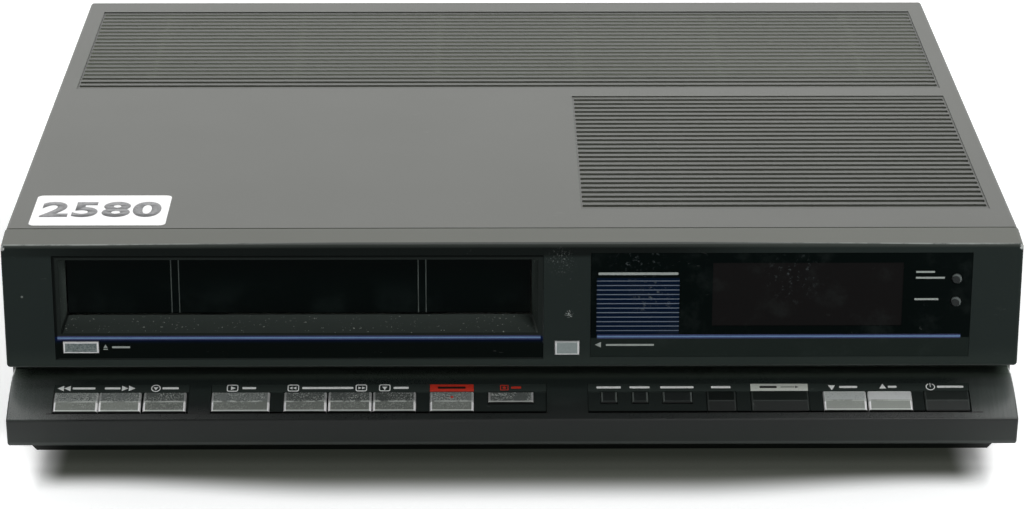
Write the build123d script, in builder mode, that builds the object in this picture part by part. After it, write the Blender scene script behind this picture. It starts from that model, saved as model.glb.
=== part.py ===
"""Front-loading video cassette recorder, as separate pieces.  Millimetres, +Z up.

X = 0 is the middle of the width, Y = 0 the middle of the depth (front is -Y) and Z = 0 the
surface that the feet stand on.
"""
from build123d import *
import os
from math import atan, cos, pi, radians, sin, sqrt

os.makedirs("parts", exist_ok=True)

# ------------------------------------------------------------------ driving dimensions
WIDTH = 422.8            # over the rear of the bezel
DEPTH = 367.8            # front lip of the ledge to the cover's rear edge
HEIGHT = 96.0
FOOT_HEIGHT = 8.0


def cassette_side(*places):
    """X places on the cassette's side, which keeps its width and follows the left end."""
    drawn_half = 211.4
    return tuple(x + drawn_half - WIDTH / 2 for x in places)


def display_side(*places):
    """X places on the display's side, which starts at the join and takes up the rest of the width."""
    drawn_half = 211.4
    join = 31.0
    stretch = (WIDTH - drawn_half - join) / (drawn_half - join)
    return tuple(WIDTH / 2 - (drawn_half - x) * stretch for x in places)


SKIN = 1.8               # wall of the cover and of the ledge
WALL = 2.5               # wall of the bezel and thickness of its inserts
SHEET = 1.5              # steel of the lift frame and the runner
SEAM = 0.3               # joint line between two outer mouldings
COVER_SEAM = 0.8         # wider joint between the bezel and the cover
SLIP = 0.15              # clearance round a fixed insert
PLAY = 0.3               # clearance round a button
RUN = 0.3                # clearance between sliding sheets
FIT = 0.09               # radial clearance of a shaft in its bore

# front bezel
BEZEL_DEPTH = 20.0
BEZEL_BOTTOM = 41.7
BEZEL_DRAFT = 0.8        # its face is narrower than its rear, on each side
BEZEL_EDGE = 1.4         # rounding of its front edges

# control ledge: (distance behind the bezel's face, height) of its main points
LEDGE_REACH = 15.0       # the lip stands this far in front of the bezel
LEDGE_STEP = 1.4         # the ledge is narrower than the bezel, on each side
LEDGE_TOP = 34.3
LEDGE_FLAT = 10.5        # the flat top starts this far behind the bezel's face
LEDGE_BULGE = 1.18       # rise of its convex top over a straight line
LIP_TOP = 24.2
LIP_LEAN = 1.5           # the lip's foot lies this far behind its top
LEDGE_BOTTOM = 12.1
LIP_ROUND = 1.4
LEDGE_END = 0.6          # bevel round the two ends
UPSTAND = 3.0            # back wall of the shadow gap between ledge and bezel

# rows of keys, on a plane that slopes with the ledge
KEY_SLOPE = 24.6
KEY_SETBACK = -5.65      # middle of the row, from the bezel's face
KEY_LEVEL = 28.45        # height of the middle of the row
KEY_HALF = 5.35          # half of a full key, up the slope
SMALL_KEY_LOW = -0.9     # lower edge of a half-height key, up the slope
LEGEND_TOP = 10.05       # upper edge of the printed strip above the keys
TRAY_LOW = -6.65         # lower edge of the key plate
PLATE_FACE = 0.25        # the filler between keys lies this far below the strip
PLATE_FLOOR = 3.3        # depth of the key pockets
PLATE_THICK = 1.8
CREASE = 0.6             # height of the crease across a key
KEY_CHAMFER = 0.45
KEY_SKIRT = 2.1          # depth of a key's body below the strip
KEY_TRAVEL = 1.0
STEM_R = 1.4

# X of the two ends of each key, left plate then right plate
LEFT_PLATE = cassette_side(-191.4, 14.2)
BRIDGE_ENDS = cassette_side(-134.9, -125.8)       # the ledge crosses the left plate here
LEFT_KEYS = {
    "rewind_key": cassette_side(-191.1, -172.6),
    "wind_key": cassette_side(-172.3, -154.8),
    "stop_key": cassette_side(-153.8, -136.0),
    "play_key": cassette_side(-125.5, -101.2),
    "search_back_key": cassette_side(-95.3, -77.5),
    "search_forward_key": cassette_side(-76.8, -58.8),
    "still_key": cassette_side(-58.2, -40.3),
    "record_key": cassette_side(-34.5, -16.2),
}
LEFT_SMALL_KEYS = {"one_touch_record_key": cassette_side(-10.2, 8.7)}
RIGHT_PLATE = display_side(31.3, 191.0)
RIGHT_KEYS = {
    "reset_key": display_side(81.1, 93.2),
    "timer_key": display_side(99.6, 123.6),
    "down_key": display_side(129.7, 147.6),
    "up_key": display_side(148.4, 166.7),
    "standby_key": display_side(172.0, 190.7),
}
RIGHT_SMALL_KEYS = {
    "channel_search_key": display_side(36.9, 43.6),
    "store_key": display_side(49.9, 56.5),
    "clock_set_key": display_side(62.7, 74.9),
}

# inserts in the bezel: (left, right, bottom, top)
SURROUND = (*cassette_side(-190.0, 12.8), 45.4, 91.5)
MOUTH_FRONT = (*cassette_side(-187.3, 10.5), 57.0, 89.7)
MOUTH_REAR = (*cassette_side(-185.7, 8.1), 61.2, 89.7)
MOUTH_DEPTH = 10.7
PANEL = (*display_side(32.2, 190.0), 46.2, 92.4)
IR_WINDOW = (*display_side(34.8, 69.5), 57.7, 80.3)
DISPLAY_WINDOW = (*display_side(82.7, 161.5), 60.0, 88.0)
WINDOW_SINK = 0.3

# front buttons: (left, right, bottom, top) or (x, z, radius)
EJECT = (*cassette_side(-186.6, -171.9), 48.5, 53.5)
TRACKING = (*cassette_side(17.6, 27.7), 47.4, 53.4)
ROUND_BUTTONS = {
    "clock_counter_button": (*display_side(183.5), 80.9),
    "dimmer_button": (*display_side(183.6), 70.7),
}
ROUND_R = 2.1
BUTTON_PROUD = 0.8
BUTTON_TRAVEL = 1.5
SWITCH_GAP = 0.2         # a fully pressed stem stops this far from its switch
SWITCH_HEIGHT = 3.0
BOARD = 1.6              # printed boards

# cassette door
DOOR_THICK = 1.8
DOOR_SIDE_GAP = 0.5
DOOR_GAP = 0.5           # behind the mouth
DOOR_LOW_GAP = 0.4
DOOR_PIN_R = 1.3
DOOR_PIN_DROP = 0.9      # pivot below the door's top edge
DOOR_PIN_LENGTH = 2.6
DOOR_RIDGES = cassette_side(-142.0, -138.8, -39.2, -36.0)

# cassette carriage
CASSETTE = (187.5, 103.0, 25.0)
CASSETTE_CLEAR = 0.55    # round the cassette, each side
BASKET_SHEET = 1.0
BASKET_FRONT = 43.0      # behind the bezel's face, at rest
BASKET_LENGTH = 58.0
BASKET_LEDGE = 14.0      # width of the two strips that carry the cassette
CARRIAGE_TRAVEL = 80.0
BASKET_DROP = 18.0
STUD_R = 2.0
STUD_LEVEL = 80.0
LIFT_STUD_R = 1.5
GEAR_MODULE = 1.0
GEAR_TEETH = 32
BACKLASH = 0.3
GEAR_WIDTH = 3.0
GEAR_BEHIND = 126.0      # gear's centre, behind the bezel's face

# deck
DECK_LEVEL = 30.0
DECK_THICK = 2.4
DECK_SIDES = cassette_side(-197.0, 34.0)
DECK_FRONT = 42.0
DECK_REAR = 278.0
REEL_SPACING = 92.0
REEL_R = 21.0
SPINDLE_PIN_R = 2.0
DRUM_R = 31.0
DRUM_TILT = 5.6
DRUM_BEHIND = 228.0
DRUM_HALF = 12.0         # height of each half of the drum
DRUM_GAP = 0.4
CAPSTAN_R = 2.0
CAPSTAN_AT = (*cassette_side(-22.0), 190.0)
FLYWHEEL_R = 22.0
PINCH_R = 7.0
PINCH_GAP = 0.3          # roller to capstan with the arm swung in
PINCH_ARM = 20.0
PINCH_SWING = 25.0

# base, cover and rear
TRAY_FLOOR = 2.0
PAN_HEIGHT = 4.0
PAN_INSET = 11.0         # from each side of the bezel to the pan's upper edge
PAN_TAPER = 1.7
TRAY_WALL = 1.6
TRAY_SIDE_TOP = 30.0
COVER_STEP = 0.3         # the cover is narrower than the bezel, on each side
COVER_CORNER = 1.7
COVER_EDGE = 1.5
COVER_RETURN = 6.0       # narrow rear flange
REAR_RECESS = 10.0
VENT_SINK = 0.4
VENT_SLOT = 2.8
VENT_WEB = 2.0
VENT_END = 5.0           # from the middle of the last slot to the end of its field
VENT_SIDE = 0.8          # from a slot's end to the side of its field
VENT_MARGIN = 8.5        # from a side of the cover to a field of slots
VENT_REAR_MARGIN = 17.2
REAR_VENT_DEPTH = 125.8
REAR_VENT_SLOTS = 21
SIDE_VENT_LEFT = 29.3
SIDE_VENT_FRONT = 43.3   # behind the bezel's face
SIDE_VENT_SLOTS = 26
VENT_SPACE = 11.9        # between the two fields
BOARD_LEVEL = 22.0

# ------------------------------------------------------------------ derived places
HALF = WIDTH / 2
COVER_HALF = HALF - COVER_STEP
LEDGE_HALF = HALF - LEDGE_STEP
BODY_DEPTH = DEPTH - LEDGE_REACH          # bezel's face to the cover's rear edge
FACE = -DEPTH / 2 + LEDGE_REACH           # front of the bezel
REAR = DEPTH / 2
COVER_FRONT = FACE + BEZEL_DEPTH + COVER_SEAM
PAN_TOP = FOOT_HEIGHT + PAN_HEIGHT
TRAY_TOP = PAN_TOP + TRAY_WALL
FLOOR = FOOT_HEIGHT + TRAY_FLOOR
DECK_TOP = DECK_LEVEL + DECK_THICK
PANEL_BACK = REAR - REAR_RECESS           # outer face of the rear panel
CEILING = HEIGHT - SKIN
PAN_SIDE = HALF - PAN_INSET
VENT_REAR = BODY_DEPTH - VENT_REAR_MARGIN
VENT_RIGHT = COVER_HALF - VENT_MARGIN
REAR_VENT = (-VENT_RIGHT, VENT_RIGHT, VENT_REAR - REAR_VENT_DEPTH, VENT_REAR)
SIDE_VENT = (*display_side(SIDE_VENT_LEFT), VENT_RIGHT, SIDE_VENT_FRONT, REAR_VENT[2] - VENT_SPACE)

key_plane = Plane(
    origin=(0, FACE + KEY_SETBACK, KEY_LEVEL),
    x_dir=(1, 0, 0),
    z_dir=(0, -sin(radians(KEY_SLOPE)), cos(radians(KEY_SLOPE))),
)


def back(distance):
    """Y of a place this far behind the bezel's face."""
    return FACE + distance


def save(builder, name):
    """Label a finished piece and write its file."""
    builder.part.label = name
    export_step(builder.part, f"parts/{name}.step")


def block(x, y, z, mode=Mode.ADD):
    """Rectangular block between pairs of coordinates."""
    with Locations((sum(x) / 2, sum(y) / 2, sum(z) / 2)):
        Box(abs(x[1] - x[0]), abs(y[1] - y[0]), abs(z[1] - z[0]), mode=mode)


def post(x, y, z, radius, mode=Mode.ADD):
    """Upright cylinder between two heights."""
    with Locations((x, y, sum(z) / 2)):
        Cylinder(radius, z[1] - z[0], mode=mode)


def rod_x(x, y, z, radius, mode=Mode.ADD):
    """Cylinder along X between two ends."""
    with Locations((sum(x) / 2, y, z)):
        Cylinder(radius, x[1] - x[0], rotation=(0, 90, 0), mode=mode)


def rod_y(x, y, z, radius, mode=Mode.ADD):
    """Cylinder along Y between two ends."""
    with Locations((x, sum(y) / 2, z)):
        Cylinder(radius, y[1] - y[0], rotation=(90, 0, 0), mode=mode)


def on_slope(x, up, out, mode=Mode.ADD):
    """Block on the key plane: along X, up the slope and out of it."""
    with BuildSketch(key_plane.offset(out[0])) as outline:
        with Locations((sum(x) / 2, sum(up) / 2)):
            Rectangle(x[1] - x[0], up[1] - up[0])
    extrude(outline.sketch, amount=out[1] - out[0], mode=mode)


def stem_on_slope(x, up, out, radius, mode=Mode.ADD):
    """Round stem or hole square to the key plane."""
    with BuildSketch(key_plane.offset(out[0])) as outline:
        with Locations((x, up)):
            Circle(radius)
    extrude(outline.sketch, amount=out[1] - out[0], mode=mode)


# ------------------------------------------------------------------ top cover
def vent_field(field, slots):
    """Shallow recess with long slots, carried by webs under the skin."""
    left, right, front, rear = field
    block((left, right), (back(front), back(rear)), (HEIGHT - VENT_SINK, HEIGHT), Mode.SUBTRACT)
    pitch = (rear - front - 2 * VENT_END) / (slots - 1)
    middle = ((left + right) / 2, back((front + rear) / 2), HEIGHT - SKIN / 2)
    with Locations(middle):
        with GridLocations(1, pitch, 1, slots):
            Box(right - left - 2 * VENT_SIDE, VENT_SLOT, SKIN, mode=Mode.SUBTRACT)
    webs = round((right - left) / (WIDTH / 6))
    with Locations((middle[0], middle[1], CEILING - VENT_WEB / 2)):
        with GridLocations((right - left) / webs, 1, webs, 1):
            Box(VENT_WEB, rear - front, VENT_WEB)


PANEL_SHEET = 1.2
SCREW_R = 1.5
SCREW_HEAD_R = 3.2
SCREW_HEAD = 1.6
SIDE_SCREW_LEVEL = TRAY_SIDE_TOP - 8.0
SIDE_SCREWS = (back(90.0), REAR - 81.4)
REAR_SCREWS = cassette_side(-95.0, 20.0) + display_side(145.0)
REAR_SCREW_LEVEL = 26.0

with BuildPart() as top_cover:
    with BuildSketch(Plane.XY.offset(PAN_TOP)):
        with Locations((0, (COVER_FRONT + REAR) / 2)):
            Rectangle(2 * COVER_HALF, REAR - COVER_FRONT)
    extrude(amount=HEIGHT - PAN_TOP)
    fillet(top_cover.edges().filter_by(Axis.Z).group_by(Axis.Y)[-1], COVER_CORNER)
    fillet(top_cover.faces().sort_by(Axis.Z)[-1].edges().sort_by(Axis.Y)[1:], COVER_EDGE)
    inner = COVER_HALF - SKIN
    block((-inner, inner), (COVER_FRONT, REAR - SKIN), (PAN_TOP, CEILING), Mode.SUBTRACT)
    block((-inner + COVER_RETURN, inner - COVER_RETURN), (REAR - SKIN, REAR),
          (PAN_TOP, CEILING - COVER_RETURN), Mode.SUBTRACT)
    vent_field(REAR_VENT, REAR_VENT_SLOTS)
    vent_field(SIDE_VENT, SIDE_VENT_SLOTS)
    for y in SIDE_SCREWS:
        rod_x((-HALF - SKIN, HALF + SKIN), y, SIDE_SCREW_LEVEL, SCREW_R + SLIP, Mode.SUBTRACT)
save(top_cover, "top_cover")

# ------------------------------------------------------------------ base tray
POST_R = 4.0
TAB = 12.0               # upright tabs that the rear panel is screwed to
MAIN_BOARD = (*display_side(38.0, 202.0), 24.0, BODY_DEPTH - 119.4)
POWER_BOARD = (*display_side(38.0, 132.0), BODY_DEPTH - 111.4, BODY_DEPTH - 17.4)
BOARD_INSET = 8.0
LIP_INNER = -LEDGE_REACH + LIP_LEAN + SKIN + SEAM   # front edge of the tray's rim


def corners(sides, inset):
    """The four corners of a rectangle, moved in by an inset."""
    left, right, front, rear = sides
    return [(x, back(y)) for x in (left + inset, right - inset) for y in (front + inset, rear - inset)]


DECK_POSTS = corners((*DECK_SIDES, DECK_FRONT, DECK_REAR), BOARD_INSET)
BOARD_POSTS = corners(MAIN_BOARD, BOARD_INSET) + corners(POWER_BOARD, BOARD_INSET)

with BuildPart() as base_tray:
    pan_rear = REAR - SKIN - SEAM
    with BuildSketch(Plane.XY.offset(FOOT_HEIGHT)):
        with Locations((0, (back(LIP_INNER) + pan_rear) / 2)):
            Rectangle(2 * (PAN_SIDE - PAN_TAPER), pan_rear - back(LIP_INNER) - 4 * PAN_TAPER)
    with BuildSketch(Plane.XY.offset(PAN_TOP)):
        with Locations((0, (back(LIP_INNER) + pan_rear) / 2)):
            Rectangle(2 * PAN_SIDE, pan_rear - back(LIP_INNER))
    loft()
    rims = ((LEDGE_HALF, back(LIP_INNER), COVER_FRONT), (COVER_HALF, COVER_FRONT, pan_rear))
    for half, front, rear in rims:
        block((-half + SKIN + SLIP, half - SKIN - SLIP), (front, rear), (PAN_TOP, TRAY_TOP))
    block((-PAN_SIDE + 3 * PAN_TAPER, PAN_SIDE - 3 * PAN_TAPER),
          (back(LIP_INNER) + 4 * PAN_TAPER, pan_rear - 4 * PAN_TAPER), (FLOOR, TRAY_TOP), Mode.SUBTRACT)
    for side in (-1, 1):
        outer = side * (COVER_HALF - SKIN - SLIP)
        block((outer, outer - side * TRAY_WALL), (COVER_FRONT + SLIP, PANEL_BACK - 2 * TRAY_WALL),
              (TRAY_TOP, TRAY_SIDE_TOP))
    for y in SIDE_SCREWS:
        rod_x((-HALF, HALF), y, SIDE_SCREW_LEVEL, SCREW_R + SLIP, Mode.SUBTRACT)
    for x, y in DECK_POSTS:
        post(x, y, (FLOOR, DECK_LEVEL), POST_R)
    for x, y in BOARD_POSTS:
        post(x, y, (FLOOR, BOARD_LEVEL), POST_R)
    for x in REAR_SCREWS:
        block((x - TAB / 2, x + TAB / 2), (PANEL_BACK - PANEL_SHEET - TRAY_WALL, PANEL_BACK - PANEL_SHEET),
              (FLOOR, REAR_SCREW_LEVEL + TAB / 2))
        rod_y(x, (PANEL_BACK - 2 * WALL, PANEL_BACK), REAR_SCREW_LEVEL, SCREW_R + SLIP, Mode.SUBTRACT)
save(base_tray, "base_tray")

# ------------------------------------------------------------------ feet
FOOT_R = 15.0
SOLE_R = 12.75           # lower half of a foot
FOOT_INSET = 43.0
FOOT_PLACES = corners((-PAN_SIDE, PAN_SIDE, LIP_INNER, BODY_DEPTH), FOOT_INSET)

with BuildPart() as feet:
    with BuildSketch(Plane.XY):
        with Locations(*FOOT_PLACES):
            Circle(SOLE_R)
    extrude(amount=FOOT_HEIGHT / 2)
    with BuildSketch(Plane.XY.offset(FOOT_HEIGHT / 2)):
        with Locations(*FOOT_PLACES):
            Circle(FOOT_R)
    extrude(amount=FOOT_HEIGHT / 2)
save(feet, "feet")

# ------------------------------------------------------------------ rear panel and its sockets
AERIAL_PLACES = ((*cassette_side(-166.0), 40.0), (*cassette_side(-140.0), 40.0))
AERIAL_FLANGE_R = 7.0
AERIAL_R = 4.76
AERIAL_LENGTH = 9.0
AV_SOCKET = (*cassette_side(-78.0, -31.0), 34.0, 49.0)
MAINS_INLET = (HALF - 52.0, HALF - 30.0, 30.0, 44.0)
COOLING_SLOT = (3.0, 28.0)                        # width and height
COOLING_SLOTS = 14
COOLING_AT = (*display_side(60.0), 60.0)

with BuildPart() as rear_panel:
    inner = COVER_HALF - SKIN - SLIP
    block((-inner, inner), (PANEL_BACK - PANEL_SHEET, PANEL_BACK), (TRAY_TOP, CEILING - SLIP))
    for x, z in AERIAL_PLACES:
        rod_y(x, (PANEL_BACK - WALL, PANEL_BACK + WALL), z, AERIAL_FLANGE_R + SLIP, Mode.SUBTRACT)
    for left, right, low, high in (AV_SOCKET, MAINS_INLET):
        block((left, right), (PANEL_BACK - WALL, PANEL_BACK + WALL), (low, high), Mode.SUBTRACT)
    with Locations((COOLING_AT[0], PANEL_BACK, COOLING_AT[1])):
        with GridLocations(COOLING_SLOT[0] * 8 / 3, 1, COOLING_SLOTS, 1):
            Box(COOLING_SLOT[0], 2 * WALL, COOLING_SLOT[1], mode=Mode.SUBTRACT)
    for x in REAR_SCREWS:
        rod_y(x, (PANEL_BACK - WALL, PANEL_BACK + WALL), REAR_SCREW_LEVEL, SCREW_R + SLIP, Mode.SUBTRACT)
save(rear_panel, "rear_panel")

with BuildPart() as cover_screws:
    for y in SIDE_SCREWS:
        for side in (-1, 1):
            head = sorted((side * COVER_HALF, side * (COVER_HALF + SCREW_HEAD - SKIN / 2)))
            shank = sorted((side * (COVER_HALF - SKIN - 3 * TRAY_WALL), side * COVER_HALF))
            rod_x(head, y, SIDE_SCREW_LEVEL, SCREW_HEAD_R)
            rod_x(shank, y, SIDE_SCREW_LEVEL, SCREW_R)
    for x in REAR_SCREWS:
        rod_y(x, (PANEL_BACK, PANEL_BACK + SCREW_HEAD), REAR_SCREW_LEVEL, SCREW_HEAD_R)
        rod_y(x, (PANEL_BACK - 3 * PANEL_SHEET, PANEL_BACK), REAR_SCREW_LEVEL, SCREW_R)
save(cover_screws, "cover_screws")

# ------------------------------------------------------------------ front bezel
def upright(y):
    """Upright plane across the object, seen from the front."""
    return Plane(origin=(0, y, 0), x_dir=(1, 0, 0), z_dir=(0, -1, 0))


def window(sides, grow=0.0):
    """Rectangle between (left, right, bottom, top), in a sketch on an upright plane."""
    left, right, low, high = sides
    with Locations(((left + right) / 2, (low + high) / 2)):
        Rectangle(right - left + 2 * grow, high - low + 2 * grow)


def cut_window(sides, y, grow=0.0):
    """Cut a rectangular hole between two depths behind the bezel's face."""
    with BuildSketch(upright(back(y[0]))) as outline:
        window(sides, grow)
    extrude(outline.sketch, amount=y[0] - y[1], mode=Mode.SUBTRACT)


SWITCH_FACE = 10.0       # front of the small switches, behind the bezel's face
SWITCH_BOARD = SWITCH_FACE + SWITCH_HEIGHT
RIB = 1.5
EJECT_RIBS = (SURROUND[0] + SLIP, EJECT[1] + 2 * RIB)
TRACKING_RIBS = (TRACKING[0] - 2 * RIB, TRACKING[1] + RIB)
RIB_LEVELS = (EJECT[2] - RIB, EJECT[3])

with BuildPart() as front_bezel:
    with BuildSketch(Plane.XY.offset(BEZEL_BOTTOM)):
        face_half = HALF - BEZEL_DRAFT
        rear = FACE + BEZEL_DEPTH
        Polygon((-face_half, FACE), (face_half, FACE), (HALF, rear), (-HALF, rear), align=None)
    extrude(amount=HEIGHT - BEZEL_BOTTOM)
    for plate in front_bezel.faces().sort_by(Axis.Z)[0], front_bezel.faces().sort_by(Axis.Z)[-1]:
        fillet([plate.edges().sort_by(Axis.X)[0], plate.edges().sort_by(Axis.X)[-1]], COVER_EDGE)
    fillet(front_bezel.faces().sort_by(Axis.Y)[0].edges(), BEZEL_EDGE)
    block((-HALF + WALL, HALF - WALL), (FACE + WALL, FACE + BEZEL_DEPTH),
          (BEZEL_BOTTOM + WALL, CEILING), Mode.SUBTRACT)
    cut_window(SURROUND, (0, WALL))
    cut_window(PANEL, (0, WALL))
    cut_window(TRACKING, (0, WALL), PLAY)
    for x in TRACKING_RIBS:
        block((x, x + RIB), (FACE + WALL, back(SWITCH_BOARD)), RIB_LEVELS)
save(front_bezel, "front_bezel")

# ------------------------------------------------------------------ cassette surround and door
DOOR_LEFT = MOUTH_REAR[0] + DOOR_SIDE_GAP
DOOR_RIGHT = MOUTH_REAR[1] - DOOR_SIDE_GAP
DOOR_FRONT = back(MOUTH_DEPTH + DOOR_GAP)
DOOR_BOTTOM = MOUTH_REAR[2] + DOOR_LOW_GAP
DOOR_TOP = MOUTH_REAR[3] + DOOR_LOW_GAP
DOOR_AXIS_Y = DOOR_FRONT + DOOR_THICK / 2
DOOR_AXIS_Z = DOOR_TOP - DOOR_PIN_DROP
EAR_DEPTH = 3 * DOOR_THICK
EAR_DROP = 4.0
RIDGE = 0.5
RIDGE_SINK = 0.25
RIDGE_LOW = 2.4          # the ridges end this far above the door's lower edge
RETURN = 4.0             # stiffening return along the door's lower edge

with BuildPart() as cassette_surround:
    left, right, low, high = SURROUND
    sides = (left + SLIP, right - SLIP)
    block(sides, (FACE, FACE + WALL), (low + SLIP, high - SLIP))
    block(sides, (FACE + WALL, back(MOUTH_DEPTH)), (MOUTH_FRONT[2] - WALL, high - SLIP))
    with BuildSketch(upright(FACE)):
        window(MOUTH_FRONT)
    with BuildSketch(upright(back(MOUTH_DEPTH))):
        window(MOUTH_REAR)
    loft(mode=Mode.SUBTRACT)
    cut_window(EJECT, (0, WALL), PLAY)
    for ear in ((sides[0], MOUTH_REAR[0]), (MOUTH_REAR[1], sides[1])):
        block(ear, (back(MOUTH_DEPTH), back(MOUTH_DEPTH) + EAR_DEPTH), (DOOR_AXIS_Z - EAR_DROP, high - SLIP))
    rod_x(sides, DOOR_AXIS_Y, DOOR_AXIS_Z, DOOR_PIN_R + FIT, Mode.SUBTRACT)
    for x in EJECT_RIBS:
        block((x, x + RIB), (FACE + WALL, back(SWITCH_BOARD)), RIB_LEVELS)
save(cassette_surround, "cassette_surround")

with BuildPart() as cassette_door:
    block((DOOR_LEFT, DOOR_RIGHT), (DOOR_FRONT, DOOR_FRONT + DOOR_THICK), (DOOR_BOTTOM, DOOR_TOP))
    for x in DOOR_RIDGES:
        block((x - RIDGE / 2, x + RIDGE / 2), (DOOR_FRONT, DOOR_FRONT + RIDGE_SINK),
              (DOOR_BOTTOM + RIDGE_LOW, DOOR_TOP), Mode.SUBTRACT)
    chamfer(cassette_door.edges().filter_by(Axis.X).group_by(Axis.Z)[0], DOOR_THICK / 4)
    for x in (DOOR_LEFT + RETURN, DOOR_RIGHT - RETURN - RIB):
        block((x, x + RIB), (DOOR_FRONT + DOOR_THICK, DOOR_FRONT + 2 * DOOR_THICK),
              (DOOR_BOTTOM + RETURN, DOOR_AXIS_Z - RETURN))
    rod_x((DOOR_LEFT - DOOR_PIN_LENGTH, DOOR_LEFT), DOOR_AXIS_Y, DOOR_AXIS_Z, DOOR_PIN_R)
    rod_x((DOOR_RIGHT, DOOR_RIGHT + DOOR_PIN_LENGTH), DOOR_AXIS_Y, DOOR_AXIS_Z, DOOR_PIN_R)
save(cassette_door, "cassette_door")

# ------------------------------------------------------------------ display panel and its board
BOSS_R = 2.5
SHROUD = 1.5
TUBE_FRONT = WALL + 1.0
TUBE_BACK = SWITCH_FACE
DISPLAY_BOARD = (PANEL[0] + 2 * SLIP, PANEL[1] - 2 * SLIP, PANEL[2] + SHROUD, PANEL[3] - SHROUD)
BOSS_INSET = 6.0
BOSS_BESIDE_TUBE = (DISPLAY_WINDOW[1] + ROUND_BUTTONS["dimmer_button"][0]) / 2
PANEL_BOSSES = [(x, z) for x in (PANEL[0] + BOSS_INSET, BOSS_BESIDE_TUBE)
                for z in (PANEL[2] + BOSS_INSET, PANEL[3] - BOSS_INSET)]

with BuildPart() as display_panel:
    with BuildSketch(upright(FACE)):
        window(PANEL, -SLIP)
    extrude(amount=-WALL)
    for glass in (IR_WINDOW, DISPLAY_WINDOW):
        cut_window(glass, (0, WINDOW_SINK))
    with BuildSketch(upright(back(WALL))):
        window(DISPLAY_WINDOW, SHROUD)
    extrude(amount=-2 * SHROUD)
    cut_window(DISPLAY_WINDOW, (WALL, WALL + 3 * SHROUD))
    for x, z in ROUND_BUTTONS.values():
        rod_y(x, (FACE - WALL, FACE + 2 * WALL), z, ROUND_R + PLAY, Mode.SUBTRACT)
    for x, z in PANEL_BOSSES:
        rod_y(x, (back(WALL), back(TUBE_BACK)), z, BOSS_R)
save(display_panel, "display_panel")

TUBE_INSET = 1.0
with BuildPart() as display_tube:
    with BuildSketch(upright(back(TUBE_FRONT))):
        window(DISPLAY_WINDOW, -SLIP)
    extrude(amount=TUBE_FRONT - TUBE_BACK)
    with BuildSketch(upright(back(TUBE_FRONT))):
        window(DISPLAY_WINDOW, -TUBE_INSET - SLIP)
    extrude(amount=-WINDOW_SINK, mode=Mode.SUBTRACT)
    fillet(display_tube.edges().filter_by(Axis.Y), TUBE_INSET / 2)
save(display_tube, "display_tube")

TACT = 6.0               # side of a small square push switch
IR_DOME_R = 3.0
with BuildPart() as display_board:
    with BuildSketch(upright(back(TUBE_BACK))):
        window(DISPLAY_BOARD)
    extrude(amount=-BOARD)
    for x, z in ROUND_BUTTONS.values():
        block((x - TACT / 2, x + TACT / 2), (back(TUBE_BACK - SWITCH_HEIGHT), back(TUBE_BACK)),
              (z - TACT / 2, z + TACT / 2))
    ir_x = (IR_WINDOW[0] + IR_WINDOW[1]) / 2
    ir_z = (IR_WINDOW[2] + IR_WINDOW[3]) / 2
    block((ir_x - TACT, ir_x + TACT), (back(TUBE_BACK - SWITCH_HEIGHT), back(TUBE_BACK)),
          (ir_z - TACT, ir_z + TACT))
    with Locations((ir_x, back(TUBE_BACK - SWITCH_HEIGHT), ir_z)):
        Sphere(IR_DOME_R)
    tube_x = (DISPLAY_WINDOW[0] + DISPLAY_WINDOW[1]) / 2
    with Locations((tube_x, back(TUBE_BACK + 2 * BOARD), DISPLAY_WINDOW[2])):
        with GridLocations(TACT * 3, 1, 4, 1):
            Box(TACT * 2, 2 * BOARD, TACT)
save(display_board, "display_board")

# ------------------------------------------------------------------ buttons in the front
FLANGE = 0.8             # a button's flange reaches this far round it, behind its hole
FLANGE_FRONT = WALL + PLAY
STEM_END = SWITCH_FACE - BUTTON_TRAVEL - SWITCH_GAP


def square_button(sides):
    """Oblong button with a bevelled cap, a flange and a stem."""
    left, right, low, high = sides
    with BuildPart() as button:
        with BuildSketch(upright(FACE - BUTTON_PROUD)):
            window(sides)
        extrude(amount=-(BUTTON_PROUD + FLANGE_FRONT))
        chamfer(button.faces().sort_by(Axis.Y)[0].edges(), BUTTON_PROUD / 2)
        with BuildSketch(upright(back(FLANGE_FRONT))):
            window(sides, FLANGE)
        extrude(amount=-FLANGE)
        rod_y((left + right) / 2, (back(FLANGE_FRONT), back(STEM_END)), (low + high) / 2, STEM_R)
    return button


def round_button(x, z):
    """Small round button with a dished cap, a flange and a stem."""
    end = TUBE_BACK - SWITCH_HEIGHT - BUTTON_TRAVEL - SWITCH_GAP
    with BuildPart() as button:
        rod_y(x, (FACE - BUTTON_PROUD, back(FLANGE_FRONT)), z, ROUND_R)
        chamfer(button.faces().sort_by(Axis.Y)[0].edges(), BUTTON_PROUD / 2)
        rod_y(x, (back(FLANGE_FRONT), back(FLANGE_FRONT + FLANGE)), z, ROUND_R + FLANGE)
        rod_y(x, (back(FLANGE_FRONT), back(end)), z, STEM_R)
    return button


save(square_button(EJECT), "eject_button")
save(square_button(TRACKING), "tracking_button")
for name, (x, z) in ROUND_BUTTONS.items():
    save(round_button(x, z), name)

with BuildPart() as front_switch_boards:
    for button, ribs in ((EJECT, EJECT_RIBS), (TRACKING, TRACKING_RIBS)):
        x = (button[0] + button[1]) / 2
        z = (button[2] + button[3]) / 2
        block((ribs[0], ribs[1] + RIB), (back(SWITCH_BOARD), back(SWITCH_BOARD + BOARD)), RIB_LEVELS)
        block((x - TACT / 2, x + TACT / 2), (back(SWITCH_FACE), back(SWITCH_BOARD)),
              (max(z - TACT / 2, RIB_LEVELS[0]), min(z + TACT / 2, RIB_LEVELS[1])))
save(front_switch_boards, "front_switch_boards")

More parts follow.
